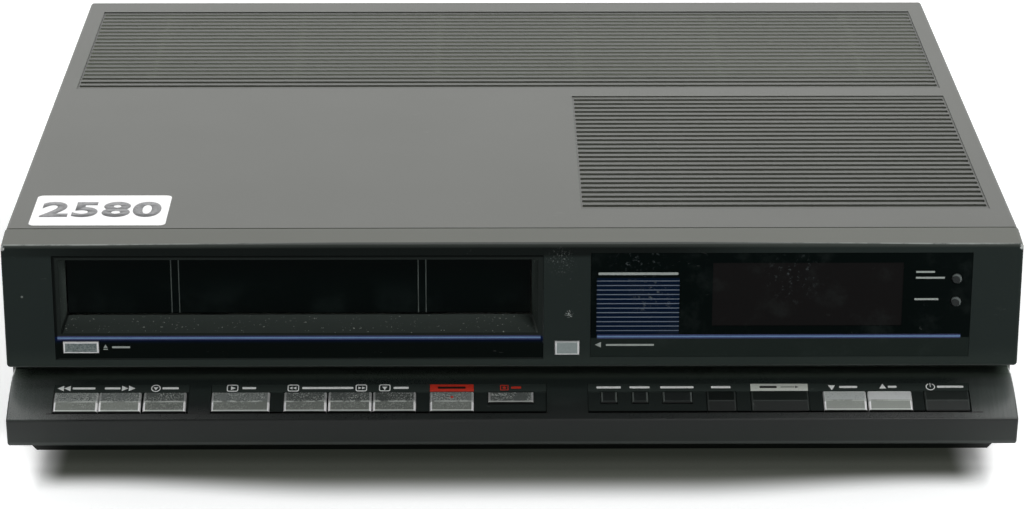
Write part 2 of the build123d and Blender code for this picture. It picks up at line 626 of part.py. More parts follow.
# ------------------------------------------------------------------ control ledge
LIP_TOP_POINT = (back(-LEDGE_REACH), LIP_TOP)
FLAT_POINT = (back(LEDGE_FLAT), LEDGE_TOP)
LIP_FOOT = (back(LIP_LEAN - LEDGE_REACH), LEDGE_BOTTOM)
LEDGE_BACK = back(BEZEL_DEPTH)
LEFT_OPENINGS = [(LEFT_PLATE[0], BRIDGE_ENDS[0]), (BRIDGE_ENDS[1], LEFT_PLATE[1])]
RIGHT_OPENINGS = [RIGHT_PLATE]

with BuildPart() as control_ledge:
    with BuildSketch(Plane.YZ.offset(-LEDGE_HALF)) as profile:
        with BuildLine():
            SagittaArc(LIP_TOP_POINT, FLAT_POINT, LEDGE_BULGE)
            Polyline(FLAT_POINT, (LEDGE_BACK - UPSTAND, LEDGE_TOP), (LEDGE_BACK - UPSTAND, BEZEL_BOTTOM),
                     (LEDGE_BACK, BEZEL_BOTTOM), (LEDGE_BACK, LEDGE_BOTTOM), LIP_FOOT, LIP_TOP_POINT)
        make_face()
        fillet(profile.vertices().group_by(Axis.X)[0], LIP_ROUND)
        fillet(profile.vertices().group_by(Axis.Y)[0].sort_by(Axis.X)[0], LIP_ROUND)
    extrude(amount=2 * LEDGE_HALF)
    ends = control_ledge.faces().filter_by(Axis.X)
    chamfer(ends.sort_by(Axis.X)[0].edges() + ends.sort_by(Axis.X)[-1].edges(), LEDGE_END)
    with BuildSketch(Plane.YZ.offset(-LEDGE_HALF + SKIN)):
        offset(profile.sketch_local, amount=-SKIN)
    extrude(amount=2 * (LEDGE_HALF - SKIN), mode=Mode.SUBTRACT)
    inside = (-LEDGE_HALF + SKIN, LEDGE_HALF - SKIN)
    block(inside, (LIP_FOOT[0] + SKIN + SLIP, LEDGE_BACK - SKIN), (LEDGE_BOTTOM, LEDGE_BOTTOM + 2 * SKIN),
          Mode.SUBTRACT)
    block(inside, (LEDGE_BACK - SKIN, LEDGE_BACK), (LEDGE_BOTTOM, TRAY_TOP), Mode.SUBTRACT)
    for opening in LEFT_OPENINGS + RIGHT_OPENINGS:
        on_slope(opening, (TRAY_LOW, LEGEND_TOP), (-LEDGE_REACH / 2, LEDGE_REACH / 2), Mode.SUBTRACT)
save(control_ledge, "control_ledge")

# ------------------------------------------------------------------ key plates and keys
PLATE_UNDER = PLATE_FLOOR + PLATE_THICK
STEM_OUT = 0.4                                    # a stem reaches this far through its plate
KEY_SWITCH = PLATE_UNDER + STEM_OUT + KEY_TRAVEL + SWITCH_GAP
KEY_SWITCH_HEIGHT = 2.4
KEY_BOARD = KEY_SWITCH + KEY_SWITCH_HEIGHT        # depth of the key board below the strip
KEY_BOARD_HALF = 6.0
THIN_WEB = 0.6           # a web between two pockets is left out if it is thinner than this
END_EDGE = 1.0           # a key's long edges are those whose middle is nearer its centre


def gaps_between(keys):
    """Middle of each gap between neighbouring keys, for the screw bosses of the board."""
    ends = sorted(keys.values())
    return [(first[1] + second[0]) / 2 for first, second in zip(ends, ends[1:])]


def pockets(keys):
    """Ends of the pockets in the plate: keys that nearly touch share one pocket."""
    ends = sorted(keys.values())
    shared = [list(ends[0])]
    for left, right in ends[1:]:
        if left - shared[-1][1] < THIN_WEB + 2 * PLAY:
            shared[-1][1] = right
        else:
            shared.append([left, right])
    return shared


def key_plate(openings, full_keys, small_keys):
    """Plate with a legend strip, a pocket round each group of keys and a hole for each stem."""
    with BuildPart() as part:
        on_slope((openings[0][0] + SLIP, openings[-1][1] - SLIP), (TRAY_LOW + SLIP, LEGEND_TOP - SLIP),
                 (-PLATE_UNDER, -PLATE_FLOOR))
        for opening in openings:
            ends = (opening[0] + SLIP, opening[1] - SLIP)
            on_slope(ends, (-KEY_HALF, LEGEND_TOP - SLIP), (-PLATE_FLOOR, -PLATE_FACE))
            on_slope(ends, (KEY_HALF + PLAY, LEGEND_TOP - SLIP), (-PLATE_FACE, 0))
        for keys, low in ((full_keys, -KEY_HALF), (small_keys, SMALL_KEY_LOW)):
            for left, right in pockets(keys):
                on_slope((left - PLAY, right + PLAY), (low - PLAY, KEY_HALF + PLAY),
                         (-PLATE_FLOOR, KEY_HALF), Mode.SUBTRACT)
            for left, right in keys.values():
                stem_on_slope((left + right) / 2, (low + KEY_HALF) / 2, (-PLATE_UNDER, -PLATE_FLOOR),
                              STEM_R + SLIP, Mode.SUBTRACT)
        for x in gaps_between(full_keys | small_keys):
            stem_on_slope(x, 0, (-KEY_BOARD, -PLATE_UNDER), STEM_R)
    return part


save(key_plate(LEFT_OPENINGS, LEFT_KEYS, LEFT_SMALL_KEYS), "left_key_plate")
save(key_plate(RIGHT_OPENINGS, RIGHT_KEYS, RIGHT_SMALL_KEYS), "right_key_plate")


def piano_key(left, right):
    """Full key: a flatter upper facet, a crease and a steeper lower facet."""
    side = Plane(origin=key_plane.from_local_coords((left, 0, 0)), x_dir=key_plane.y_dir, z_dir=(1, 0, 0))
    with BuildPart() as key:
        with BuildSketch(side):
            with BuildLine():
                Polyline((-KEY_HALF, -KEY_SKIRT), (-KEY_HALF, -CREASE / 3), (0, CREASE),
                         (KEY_HALF, CREASE / 6), (KEY_HALF, -KEY_SKIRT), close=True)
            make_face()
        extrude(amount=right - left)
        rims = key.edges().filter_by(lambda e: key_plane.to_local_coords(e.center()).Z > -CREASE)
        chamfer(rims.filter_by(lambda e: abs(e.center().X - (left + right) / 2) > END_EDGE), KEY_CHAMFER)
        stem_on_slope((left + right) / 2, 0, (-PLATE_UNDER - STEM_OUT, -KEY_SKIRT), STEM_R)
    return key


def small_key(left, right):
    """Half-height key: a flat top with bevelled rims."""
    with BuildPart() as key:
        on_slope((left, right), (SMALL_KEY_LOW, KEY_HALF), (-KEY_SKIRT, CREASE / 2))
        chamfer(key.edges().filter_by(lambda e: key_plane.to_local_coords(e.center()).Z > CREASE / 3),
                KEY_CHAMFER)
        stem_on_slope((left + right) / 2, (SMALL_KEY_LOW + KEY_HALF) / 2,
                      (-PLATE_UNDER - STEM_OUT, -KEY_SKIRT), STEM_R)
    return key


for name, ends in (LEFT_KEYS | RIGHT_KEYS).items():
    save(piano_key(*ends), name)
for name, ends in (LEFT_SMALL_KEYS | RIGHT_SMALL_KEYS).items():
    save(small_key(*ends), name)

with BuildPart() as key_board:
    on_slope((LEFT_PLATE[0] + 2 * RIB, RIGHT_PLATE[1] - 2 * RIB), (-KEY_BOARD_HALF, KEY_BOARD_HALF),
             (-KEY_BOARD - BOARD, -KEY_BOARD))
    half_keys = LEFT_SMALL_KEYS | RIGHT_SMALL_KEYS
    for keys, low in ((LEFT_KEYS | RIGHT_KEYS, -KEY_HALF), (half_keys, SMALL_KEY_LOW)):
        for left, right in keys.values():
            x = (left + right) / 2
            up = (low + KEY_HALF) / 2
            on_slope((x - TACT / 2, x + TACT / 2), (up - TACT / 2, up + TACT / 2),
                     (-KEY_BOARD, -KEY_SWITCH))
save(key_board, "key_board")

# ------------------------------------------------------------------ cassette carriage
DOOR_X = (MOUTH_REAR[0] + MOUTH_REAR[1]) / 2      # middle of the cassette's path
CASSETTE_LEVEL = MOUTH_REAR[2] + 2 * RUN          # underside of a cassette in the basket
BASKET_INNER = CASSETTE[0] / 2 + CASSETTE_CLEAR
BASKET_OUTER = BASKET_INNER + BASKET_SHEET
RUNNER_INNER = BASKET_OUTER + RUN
RUNNER_OUTER = RUNNER_INNER + SHEET
LIFT_INNER = RUNNER_OUTER + RUN
LIFT_OUTER = LIFT_INNER + SHEET
BASKET_TOP = CASSETTE_LEVEL + CASSETTE[2] + CASSETTE_CLEAR + BASKET_SHEET
BASKET_REAR = BASKET_FRONT + BASKET_LENGTH
RUNNER_BRIDGE = BASKET_TOP + 2 * RUN              # underside of the runner's cross bar
LIFT_BRIDGE = RUNNER_BRIDGE + SHEET + RUN
STUD_PLACES = (BASKET_FRONT + 10.0, BASKET_REAR - 10.0)
LIFT_STUD_PLACES = (BASKET_FRONT + 19.0, BASKET_REAR - 19.0)
LIFT_STUD_LEVEL = BASKET_TOP - 5.0
STUD_CLEAR = 0.1
BRIDGE = 12.0            # width of the cross bars
LIFT_REAR = BASKET_REAR + CARRIAGE_TRAVEL + STUD_R + RUN
FOOT_TAB = 8.0
PITCH = pi * GEAR_MODULE
GEAR_R = GEAR_MODULE * GEAR_TEETH / 2
PITCH_LINE = STUD_LEVEL - STUD_R - 1.75 * GEAR_MODULE
GEAR_LEVEL = PITCH_LINE - GEAR_R
RACK_X = DOOR_X + LIFT_OUTER + RUN
TOOTH_HALF = PITCH / 4 - BACKLASH / 4             # half of a tooth on the pitch line
PRESSURE = radians(20.0)
ADDENDUM = 1.0 * GEAR_MODULE
DEDENDUM = 1.25 * GEAR_MODULE


def slotted_side(x, outline, slots):
    """Upright sheet across X with level or upright slots: (y, z, length, width, turn)."""
    with BuildSketch(Plane.YZ.offset(x)) as sheet:
        with Locations((sum(outline[0]) / 2, sum(outline[1]) / 2)):
            RectangleRounded(outline[0][1] - outline[0][0], outline[1][1] - outline[1][0], 2 * SHEET)
        for y, z, length, width, turn in slots:
            with Locations(Location((y, z, 0), turn)):
                SlotOverall(length, width, mode=Mode.SUBTRACT)
    extrude(sheet.sketch, amount=SHEET)


with BuildPart() as lift_frame:
    slot_front = back(STUD_PLACES[0]) - STUD_R - STUD_CLEAR
    slot_rear = back(STUD_PLACES[1] + CARRIAGE_TRAVEL) + STUD_R + STUD_CLEAR
    slot = ((slot_front + slot_rear) / 2, STUD_LEVEL, slot_rear - slot_front, 2 * (STUD_R + STUD_CLEAR), 0)
    for x in (DOOR_X - LIFT_OUTER, DOOR_X + LIFT_INNER):
        slotted_side(x, ((back(BASKET_FRONT), back(LIFT_REAR)), (DECK_TOP, LIFT_BRIDGE + SHEET)), [slot])
    for front in (BASKET_FRONT, LIFT_REAR - BRIDGE):
        block((DOOR_X - LIFT_OUTER, DOOR_X + LIFT_OUTER), (back(front), back(front + BRIDGE)),
              (LIFT_BRIDGE, LIFT_BRIDGE + SHEET))
        for side in (-1, 1):
            inner = DOOR_X + side * LIFT_INNER
            block((inner, inner - side * FOOT_TAB), (back(front), back(front + BRIDGE)),
                  (DECK_TOP, DECK_TOP + SHEET))
save(lift_frame, "lift_frame")


def rack(front, rear):
    """Toothed bar under the studs' level, its teeth pointing down, in mesh with the gear."""
    with BuildSketch(Plane.YZ.offset(RACK_X)) as bar:
        with Locations((back((front + rear) / 2), (PITCH_LINE + DEDENDUM + STUD_LEVEL + STUD_R) / 2)):
            Rectangle(rear - front, STUD_LEVEL + STUD_R - PITCH_LINE - DEDENDUM)
        first = -int((GEAR_BEHIND - front) / PITCH - 1)
        last = int((rear - GEAR_BEHIND) / PITCH - 1)
        places = [(back(GEAR_BEHIND + (n + 0.5) * PITCH), PITCH_LINE) for n in range(first, last)]
        tip = TOOTH_HALF - ADDENDUM * sin(PRESSURE)
        root = TOOTH_HALF + DEDENDUM * sin(PRESSURE)
        with Locations(*places):
            Polygon((-root, DEDENDUM), (root, DEDENDUM), (tip, -ADDENDUM), (-tip, -ADDENDUM), align=None)
    extrude(bar.sketch, amount=GEAR_WIDTH)


with BuildPart() as carriage_runner:
    drop_high = LIFT_STUD_LEVEL + LIFT_STUD_R + STUD_CLEAR
    drop_low = LIFT_STUD_LEVEL - BASKET_DROP - LIFT_STUD_R - STUD_CLEAR
    slots = [(back(y), (drop_high + drop_low) / 2, drop_high - drop_low, 2 * (LIFT_STUD_R + STUD_CLEAR), 90)
             for y in LIFT_STUD_PLACES]
    for x in (DOOR_X - RUNNER_OUTER, DOOR_X + RUNNER_INNER):
        slotted_side(x, ((back(BASKET_FRONT), back(BASKET_REAR)),
                         (drop_low - 2 * SHEET, RUNNER_BRIDGE + SHEET)), slots)
    bar_rear = back(BASKET_REAR - SHEET)
    block((DOOR_X - RUNNER_OUTER, DOOR_X + RUNNER_OUTER), (bar_rear - BRIDGE, bar_rear),
          (RUNNER_BRIDGE, RUNNER_BRIDGE + SHEET))
    for y in STUD_PLACES:
        rod_x((DOOR_X - LIFT_OUTER - RUN, DOOR_X - RUNNER_OUTER), back(y), STUD_LEVEL, STUD_R)
        rod_x((DOOR_X + RUNNER_OUTER, RACK_X), back(y), STUD_LEVEL, STUD_R)
    rack(GEAR_BEHIND - CARRIAGE_TRAVEL - 2 * PITCH, GEAR_BEHIND + 2 * PITCH)
save(carriage_runner, "carriage_runner")

BASKET_STOP = 20.0       # width of the rear stops
with BuildPart() as cassette_basket:
    with BuildSketch(upright(back(BASKET_FRONT))):
        with BuildLine():
            low = CASSETTE_LEVEL - BASKET_SHEET
            edge = BASKET_INNER - BASKET_LEDGE
            half = Polyline((0, BASKET_TOP), (BASKET_OUTER, BASKET_TOP), (BASKET_OUTER, low), (edge, low),
                            (edge, CASSETTE_LEVEL), (BASKET_INNER, CASSETTE_LEVEL),
                            (BASKET_INNER, BASKET_TOP - BASKET_SHEET), (0, BASKET_TOP - BASKET_SHEET))
            mirror(half, about=Plane.YZ)
        make_face()
    extrude(amount=-BASKET_LENGTH)
    with BuildSketch(Plane.XY.offset(BASKET_TOP)):
        with Locations((0, back(BASKET_FRONT + BASKET_LENGTH / 2))):
            with GridLocations(BASKET_INNER, 1, 2, 1):
                RectangleRounded(BASKET_INNER * 0.75, BASKET_LENGTH / 2, 2 * BASKET_STOP / 5)
    extrude(amount=-BASKET_SHEET, mode=Mode.SUBTRACT)
    for side in (-1, 1):
        block((side * BASKET_INNER, side * (BASKET_INNER - BASKET_STOP)),
              (back(BASKET_REAR - BASKET_SHEET), back(BASKET_REAR)),
              (CASSETTE_LEVEL, BASKET_TOP - BASKET_SHEET))
        for y in LIFT_STUD_PLACES:
            rod_x(sorted((side * BASKET_OUTER, side * (RUNNER_OUTER - STUD_CLEAR))), back(y),
                  LIFT_STUD_LEVEL, LIFT_STUD_R)
basket = cassette_basket.part.moved(Location((DOOR_X, 0, 0)))
basket.label = "cassette_basket"
export_step(basket, "parts/cassette_basket.step")

# gear of the carriage, driven by the motor's gearbox
GEAR_SHAFT_R = 2.5
GEARBOX_GAP = 0.8
GEARBOX_X = (RACK_X + GEAR_WIDTH + GEARBOX_GAP, RACK_X + GEAR_WIDTH + GEARBOX_GAP + 15.0)
GEARBOX_HALF = 13.0
MOTOR_R = 11.0
MOTOR_LENGTH = 28.0
SHAFT_IN = 8.0           # length of the gear's shaft inside the gearbox


def involute_half_angle(radius):
    """Half of a tooth's angle at a radius, for an involute tooth thinned by the backlash."""
    base = GEAR_R * cos(PRESSURE)
    swing = sqrt(max((radius / base) ** 2 - 1, 0))
    return TOOTH_HALF / GEAR_R + (sin(PRESSURE) / cos(PRESSURE) - PRESSURE) - (swing - atan(swing))


with BuildPart() as carriage_gear:
    root = GEAR_R - DEDENDUM
    with BuildSketch(Plane.YZ.offset(RACK_X)):
        with Locations((back(GEAR_BEHIND), GEAR_LEVEL)):
            Circle(root)
            with PolarLocations(0, GEAR_TEETH, start_angle=90):
                flank = []
                for r in (root - ADDENDUM / 4, GEAR_R - ADDENDUM / 2, GEAR_R, GEAR_R + ADDENDUM):
                    angle = involute_half_angle(r)
                    flank.append((r * cos(angle), r * sin(angle)))
                Polygon(*flank, *[(x, -y) for x, y in reversed(flank)], align=None)
            with PolarLocations(root * 0.6, 6):
                Circle(root * 0.2, mode=Mode.SUBTRACT)
    extrude(amount=GEAR_WIDTH)
    rod_x((RACK_X + GEAR_WIDTH, GEARBOX_X[0] + SHAFT_IN), back(GEAR_BEHIND), GEAR_LEVEL, GEAR_SHAFT_R)
save(carriage_gear, "carriage_gear")

with BuildPart() as loading_motor:
    with BuildSketch(Plane.YZ.offset(GEARBOX_X[0])):
        with BuildLine():
            left = back(GEAR_BEHIND - GEARBOX_HALF)
            right = back(GEAR_BEHIND + GEARBOX_HALF)
            Polyline((right, GEAR_LEVEL), (right, DECK_TOP), (left, DECK_TOP), (left, GEAR_LEVEL))
            crown = (back(GEAR_BEHIND), GEAR_LEVEL + GEARBOX_HALF)
            ThreePointArc((left, GEAR_LEVEL), crown, (right, GEAR_LEVEL))
        make_face()
    extrude(amount=GEARBOX_X[1] - GEARBOX_X[0])
    rod_x((GEARBOX_X[0], GEARBOX_X[0] + SHAFT_IN + RUN), back(GEAR_BEHIND), GEAR_LEVEL, GEAR_SHAFT_R + FIT,
          Mode.SUBTRACT)
    motor_x = GEARBOX_X[0] + MOTOR_R
    rod_y(motor_x, (right, right + MOTOR_LENGTH), DECK_TOP + MOTOR_R + RUN, MOTOR_R)
    rod_y(motor_x, (right + MOTOR_LENGTH, right + MOTOR_LENGTH + RIB), DECK_TOP + MOTOR_R + RUN, MOTOR_R / 3)
save(loading_motor, "loading_motor")

# ------------------------------------------------------------------ deck
REELS_BEHIND = BASKET_REAR - BASKET_SHEET - CASSETTE[1] / 2 - 5.0 + CARRIAGE_TRAVEL
REEL_PLACES = {
    "supply_reel": (DOOR_X - REEL_SPACING / 2, back(REELS_BEHIND)),
    "takeup_reel": (DOOR_X + REEL_SPACING / 2, back(REELS_BEHIND)),
}
DRUM_AT = (DOOR_X, back(DRUM_BEHIND))
CAPSTAN = (CAPSTAN_AT[0], back(CAPSTAN_AT[1]))
PINCH_REACH = CAPSTAN_R + PINCH_GAP + PINCH_R     # capstan to roller with the arm swung in
PINCH_TURN = radians(60.0)                        # direction from the capstan to the roller, in
ARM_TURN = radians(200.0)                         # direction from the pivot to the roller, in
ARM_PIVOT = (CAPSTAN[0] + PINCH_REACH * cos(PINCH_TURN) - PINCH_ARM * cos(ARM_TURN),
             CAPSTAN[1] + PINCH_REACH * sin(PINCH_TURN) - PINCH_ARM * sin(ARM_TURN))
ARM_REST = ARM_TURN - radians(PINCH_SWING)
ROLLER = (ARM_PIVOT[0] + PINCH_ARM * cos(ARM_REST), ARM_PIVOT[1] + PINCH_ARM * sin(ARM_REST))
ARM_LEVEL = DECK_TOP + 7.0
ARM_THICK = 2.0
ROLLER_HEIGHT = 17.0
BEARING_R = 5.0
BEARING_DROP = 4.0
BEARING_RISE = 5.0
SPINDLE_TOP = DECK_TOP + 16.0
DECK_WINDOW = (34.0, 22.0)                        # cut-outs near the front of the deck plate
DECK_WINDOWS = 4
DECK_WINDOW_BEHIND = DECK_FRONT + 22.0
REEL_WINDOW = (38.0, 16.0)

with BuildPart() as deck_plate:
    with BuildSketch(Plane.XY.offset(DECK_LEVEL)):
        with Locations((sum(DECK_SIDES) / 2, back((DECK_FRONT + DECK_REAR) / 2))):
            RectangleRounded(DECK_SIDES[1] - DECK_SIDES[0], DECK_REAR - DECK_FRONT, 2 * POST_R)
        with Locations((DOOR_X, back(DECK_WINDOW_BEHIND))):
            with GridLocations(DECK_WINDOW[0] + 2 * POST_R, 1, DECK_WINDOWS, 1):
                RectangleRounded(*DECK_WINDOW, POST_R, mode=Mode.SUBTRACT)
        with Locations((DOOR_X, back(REELS_BEHIND))):
            SlotOverall(*REEL_WINDOW, mode=Mode.SUBTRACT)
    extrude(amount=DECK_THICK)
    for x, y in REEL_PLACES.values():
        post(x, y, (DECK_TOP, SPINDLE_TOP), SPINDLE_PIN_R)
        post(x, y, (DECK_TOP, DECK_TOP + RUN), 2 * SPINDLE_PIN_R)
    post(*ARM_PIVOT, (DECK_TOP, ARM_LEVEL + 2 * ARM_THICK), SPINDLE_PIN_R)
    post(*ARM_PIVOT, (DECK_TOP, ARM_LEVEL - RUN), 2 * SPINDLE_PIN_R)
    post(*CAPSTAN, (DECK_LEVEL - BEARING_DROP, DECK_TOP + BEARING_RISE), BEARING_R)
    post(*CAPSTAN, (DECK_LEVEL - BEARING_DROP, DECK_TOP + BEARING_RISE), CAPSTAN_R + FIT, Mode.SUBTRACT)
save(deck_plate, "deck_plate")


def reel(x, y):
    """Reel table: a toothed flange, a hub and a spindle with three wings."""
    level = DECK_TOP + 2 * RUN
    hub = level + 6.0
    with BuildPart() as part:
        with BuildSketch(Plane.XZ) as profile:
            with BuildLine():
                Polyline((SPINDLE_PIN_R + FIT, level), (REEL_R, level), (REEL_R, level + 2),
                         (REEL_R / 2, level + 2), (REEL_R / 2, hub), (REEL_R / 4, hub),
                         (REEL_R / 4, hub + 15), (REEL_R / 8, hub + 18), (0, hub + 18),
                         (0, SPINDLE_TOP + RUN), (SPINDLE_PIN_R + FIT, SPINDLE_TOP + RUN), close=True)
            make_face()
        revolve(axis=Axis.Z)
        with PolarLocations(REEL_R / 4 + 0.5, 3):
            with Locations((0, 0, hub + 6.5)):
                Box(3.0, 2.0, 13.0)
        with BuildSketch(Plane.XY.offset(level)):
            with PolarLocations(REEL_R, 36):
                Circle(0.6)
        extrude(amount=2, mode=Mode.SUBTRACT)
    return part.part.moved(Location((x, y, 0)))


for name, (x, y) in REEL_PLACES.items():
    table = reel(x, y)
    table.label = name
    export_step(table, f"parts/{name}.step")

# drum, tilted to the left
drum_plane = Plane(origin=(*DRUM_AT, DECK_TOP), x_dir=(cos(radians(DRUM_TILT)), 0, sin(radians(DRUM_TILT))),
                   z_dir=(-sin(radians(DRUM_TILT)), 0, cos(radians(DRUM_TILT))))
DRUM_BASE = 8.0          # lower edge of the drum above the deck, on its axis
DRUM_SHAFT_R = 3.0
DRUM_FOOT_R = 25.0

with BuildPart() as lower_drum:
    post(*DRUM_AT, (DECK_TOP, DECK_TOP + DRUM_BASE + DRUM_HALF / 4), DRUM_FOOT_R)
    with BuildSketch(drum_plane.offset(DRUM_BASE)):
        Circle(DRUM_R)
    extrude(amount=DRUM_HALF)
    with BuildSketch(drum_plane.offset(DRUM_BASE + DRUM_HALF)):
        Circle(DRUM_SHAFT_R + FIT)
    extrude(amount=-DRUM_HALF * 1.25, mode=Mode.SUBTRACT)
    groove = lower_drum.edges().filter_by(GeomType.CIRCLE).filter_by(lambda e: e.radius > DRUM_R - 1)
    chamfer(groove, RUN)
save(lower_drum, "lower_drum")

with BuildPart() as head_drum:
    with BuildSketch(drum_plane.offset(DRUM_BASE + DRUM_HALF + DRUM_GAP)):
        Circle(DRUM_R)
    extrude(amount=DRUM_HALF)
    chamfer(head_drum.edges().filter_by(GeomType.CIRCLE), RUN)
    with BuildSketch(drum_plane.offset(DRUM_BASE + 2 * DRUM_HALF + DRUM_GAP)):
        Circle(DRUM_R * 0.8)
        Circle(DRUM_R * 0.4, mode=Mode.SUBTRACT)
    extrude(amount=-DRUM_HALF / 4, mode=Mode.SUBTRACT)
    with BuildSketch(drum_plane.offset(DRUM_BASE + DRUM_HALF + DRUM_GAP)):
        with PolarLocations(DRUM_R, 4):
            Rectangle(3.0, 5.0)
    extrude(amount=DRUM_HALF / 4, mode=Mode.SUBTRACT)
    with BuildSketch(drum_plane.offset(DRUM_BASE + 2 * DRUM_HALF + DRUM_GAP)):
        Circle(DRUM_SHAFT_R)
    extrude(amount=RIB)
    with BuildSketch(drum_plane.offset(DRUM_BASE + DRUM_GAP)):
        Circle(DRUM_SHAFT_R)
    extrude(amount=DRUM_HALF)
save(head_drum, "head_drum")

# capstan and its motor
MOTOR_BASE = 1.6
COIL_HEIGHT = 5.0
COIL_GAP = 0.6
FLYWHEEL_LOW = FLOOR + MOTOR_BASE + COIL_HEIGHT + COIL_GAP
CAPSTAN_TOP = DECK_TOP + 32.0

with BuildPart() as capstan:
    with BuildSketch(Plane.XZ) as profile:
        with BuildLine():
            high = DECK_LEVEL - BEARING_DROP - COIL_GAP
            Polyline((0, FLYWHEEL_LOW), (FLYWHEEL_R, FLYWHEEL_LOW), (FLYWHEEL_R, high - 1),
                     (FLYWHEEL_R - 3, high - 1), (FLYWHEEL_R - 4, high - 2), (BEARING_R, high - 2),
                     (BEARING_R, high), (CAPSTAN_R, high), (CAPSTAN_R, CAPSTAN_TOP - 1),
                     (CAPSTAN_R / 2, CAPSTAN_TOP), (0, CAPSTAN_TOP), close=True)
        make_face()
    revolve(axis=Axis.Z)
flywheel = capstan.part.moved(Location((*CAPSTAN, 0)))
flywheel.label = "capstan"
export_step(flywheel, "parts/capstan.step")

with BuildPart() as capstan_motor:
    with BuildSketch(Plane.XY.offset(FLOOR)):
        with Locations(CAPSTAN):
            RectangleRounded(2.4 * FLYWHEEL_R, 2.4 * FLYWHEEL_R, POST_R)
    extrude(amount=MOTOR_BASE)
    with BuildSketch(Plane.XY.offset(FLOOR + MOTOR_BASE)):
        with Locations(CAPSTAN):
            with PolarLocations(FLYWHEEL_R * 0.6, 9):
                RectangleRounded(8.0, 6.5, 1.5)
    extrude(amount=COIL_HEIGHT)
save(capstan_motor, "capstan_motor")

# pinch arm and roller, swung out at rest
ROLLER_PIN_R = 1.5
ROLLER_LOW = ARM_LEVEL + ARM_THICK + RUN

with BuildPart() as pinch_arm:
    with BuildSketch(Plane.XY.offset(ARM_LEVEL)):
        with Locations(Location((*ARM_PIVOT, 0), PINCH_SWING * 7)):
            with Locations((PINCH_ARM / 2, 0)):
                SlotCenterToCenter(PINCH_ARM, 8.0)
    extrude(amount=ARM_THICK)
    post(*ARM_PIVOT, (ARM_LEVEL, ARM_LEVEL + 3 * ARM_THICK), 4.0)
    post(*ARM_PIVOT, (ARM_LEVEL, ARM_LEVEL + 2 * ARM_THICK + RUN), SPINDLE_PIN_R + FIT, Mode.SUBTRACT)
    post(*ROLLER, (ARM_LEVEL, ROLLER_LOW + ROLLER_HEIGHT + ARM_THICK), ROLLER_PIN_R)
save(pinch_arm, "pinch_arm")

with BuildPart() as pinch_roller:
    post(*ROLLER, (ROLLER_LOW, ROLLER_LOW + ROLLER_HEIGHT), PINCH_R)
    fillet(pinch_roller.edges(), RUN)
    post(*ROLLER, (ROLLER_LOW, ROLLER_LOW + ROLLER_HEIGHT), ROLLER_PIN_R + FIT, Mode.SUBTRACT)
save(pinch_roller, "pinch_roller")

# fixed heads and tape guides
HEAD_PLACES = ((-68.0, 192.0), (42.0, 194.0))     # from the middle of the cassette's path
GUIDE_PLACES = ((-77.2, 206.0), (-53.2, 214.0), (-47.2, 240.0), (46.8, 244.0), (48.8, 218.0))
GUIDE_R = 2.5
GUIDE_FLANGE_R = 4.0
HEAD_FOOT = (10.0, 6.0)
HEAD_CASE = (14.0, 9.0)
TAPE_LEVEL = (DECK_TOP + 11.0, DECK_TOP + 26.0)

with BuildPart() as tape_heads:
    for x, distance in HEAD_PLACES:
        with Locations((DOOR_X + x, back(distance), DECK_TOP)):
            Box(*HEAD_FOOT, TAPE_LEVEL[0] - DECK_TOP, align=(Align.CENTER, Align.CENTER, Align.MIN))
        with Locations((DOOR_X + x, back(distance), TAPE_LEVEL[0])):
            Box(*HEAD_CASE, TAPE_LEVEL[1] - TAPE_LEVEL[0], align=(Align.CENTER, Align.CENTER, Align.MIN))
    case_edges = tape_heads.edges().filter_by(Axis.Z).filter_by(lambda e: e.center().Z > TAPE_LEVEL[0])
    fillet(case_edges, RIB)
save(tape_heads, "tape_heads")

with BuildPart() as tape_posts:
    for x, distance in GUIDE_PLACES:
        place = (DOOR_X + x, back(distance))
        post(*place, (DECK_TOP, TAPE_LEVEL[1] + RIB), GUIDE_R)
        for level in (TAPE_LEVEL[0] - RIB, TAPE_LEVEL[1] - RIB):
            post(*place, (level, level + RIB), GUIDE_FLANGE_R)
save(tape_posts, "tape_posts")

# ------------------------------------------------------------------ electronics
BOARD_TOP = BOARD_LEVEL + BOARD


def board(sides):
    """Printed board on its posts."""
    left, right, front, rear = sides
    block((left, right), (back(front), back(rear)), (BOARD_LEVEL, BOARD_TOP))


def parts_on(sides, at, pitch, count, height):
    """Rows of places on a board, in parts of its width and depth, for pieces of this height."""
    left, right, front, rear = sides
    wide = right - left
    deep = rear - front
    middle = Location((left + at[0] * wide, back(front + at[1] * deep), BOARD_TOP + height / 2))
    return [middle * place for place in GridLocations(pitch[0] * wide, pitch[1] * deep, *count)]


CHIP = (20.0, 10.0, 3.0)
SMALL_CAN = (4.0, 12.0)                           # radius and height
MODULE = (70.0, 60.0, 14.0)
COIL_CAN = (24.0, 6.0, 8.0)
with BuildPart() as main_board:
    board(MAIN_BOARD)
    with Locations(*parts_on(MAIN_BOARD, (0.24, 0.22), (0.16, 0.16), (3, 3), CHIP[2])):
        Box(*CHIP)
    with Locations(*parts_on(MAIN_BOARD, (0.80, 0.18), (0.09, 0.09), (4, 3), SMALL_CAN[1])):
        Cylinder(*SMALL_CAN)
    with Locations(*parts_on(MAIN_BOARD, (0.42, 0.75), (1, 1), (1, 1), MODULE[2])):
        Box(*MODULE)
    with Locations(*parts_on(MAIN_BOARD, (0.82, 0.70), (1, 0.08), (1, 4), COIL_CAN[2])):
        Box(*COIL_CAN)
save(main_board, "main_board")

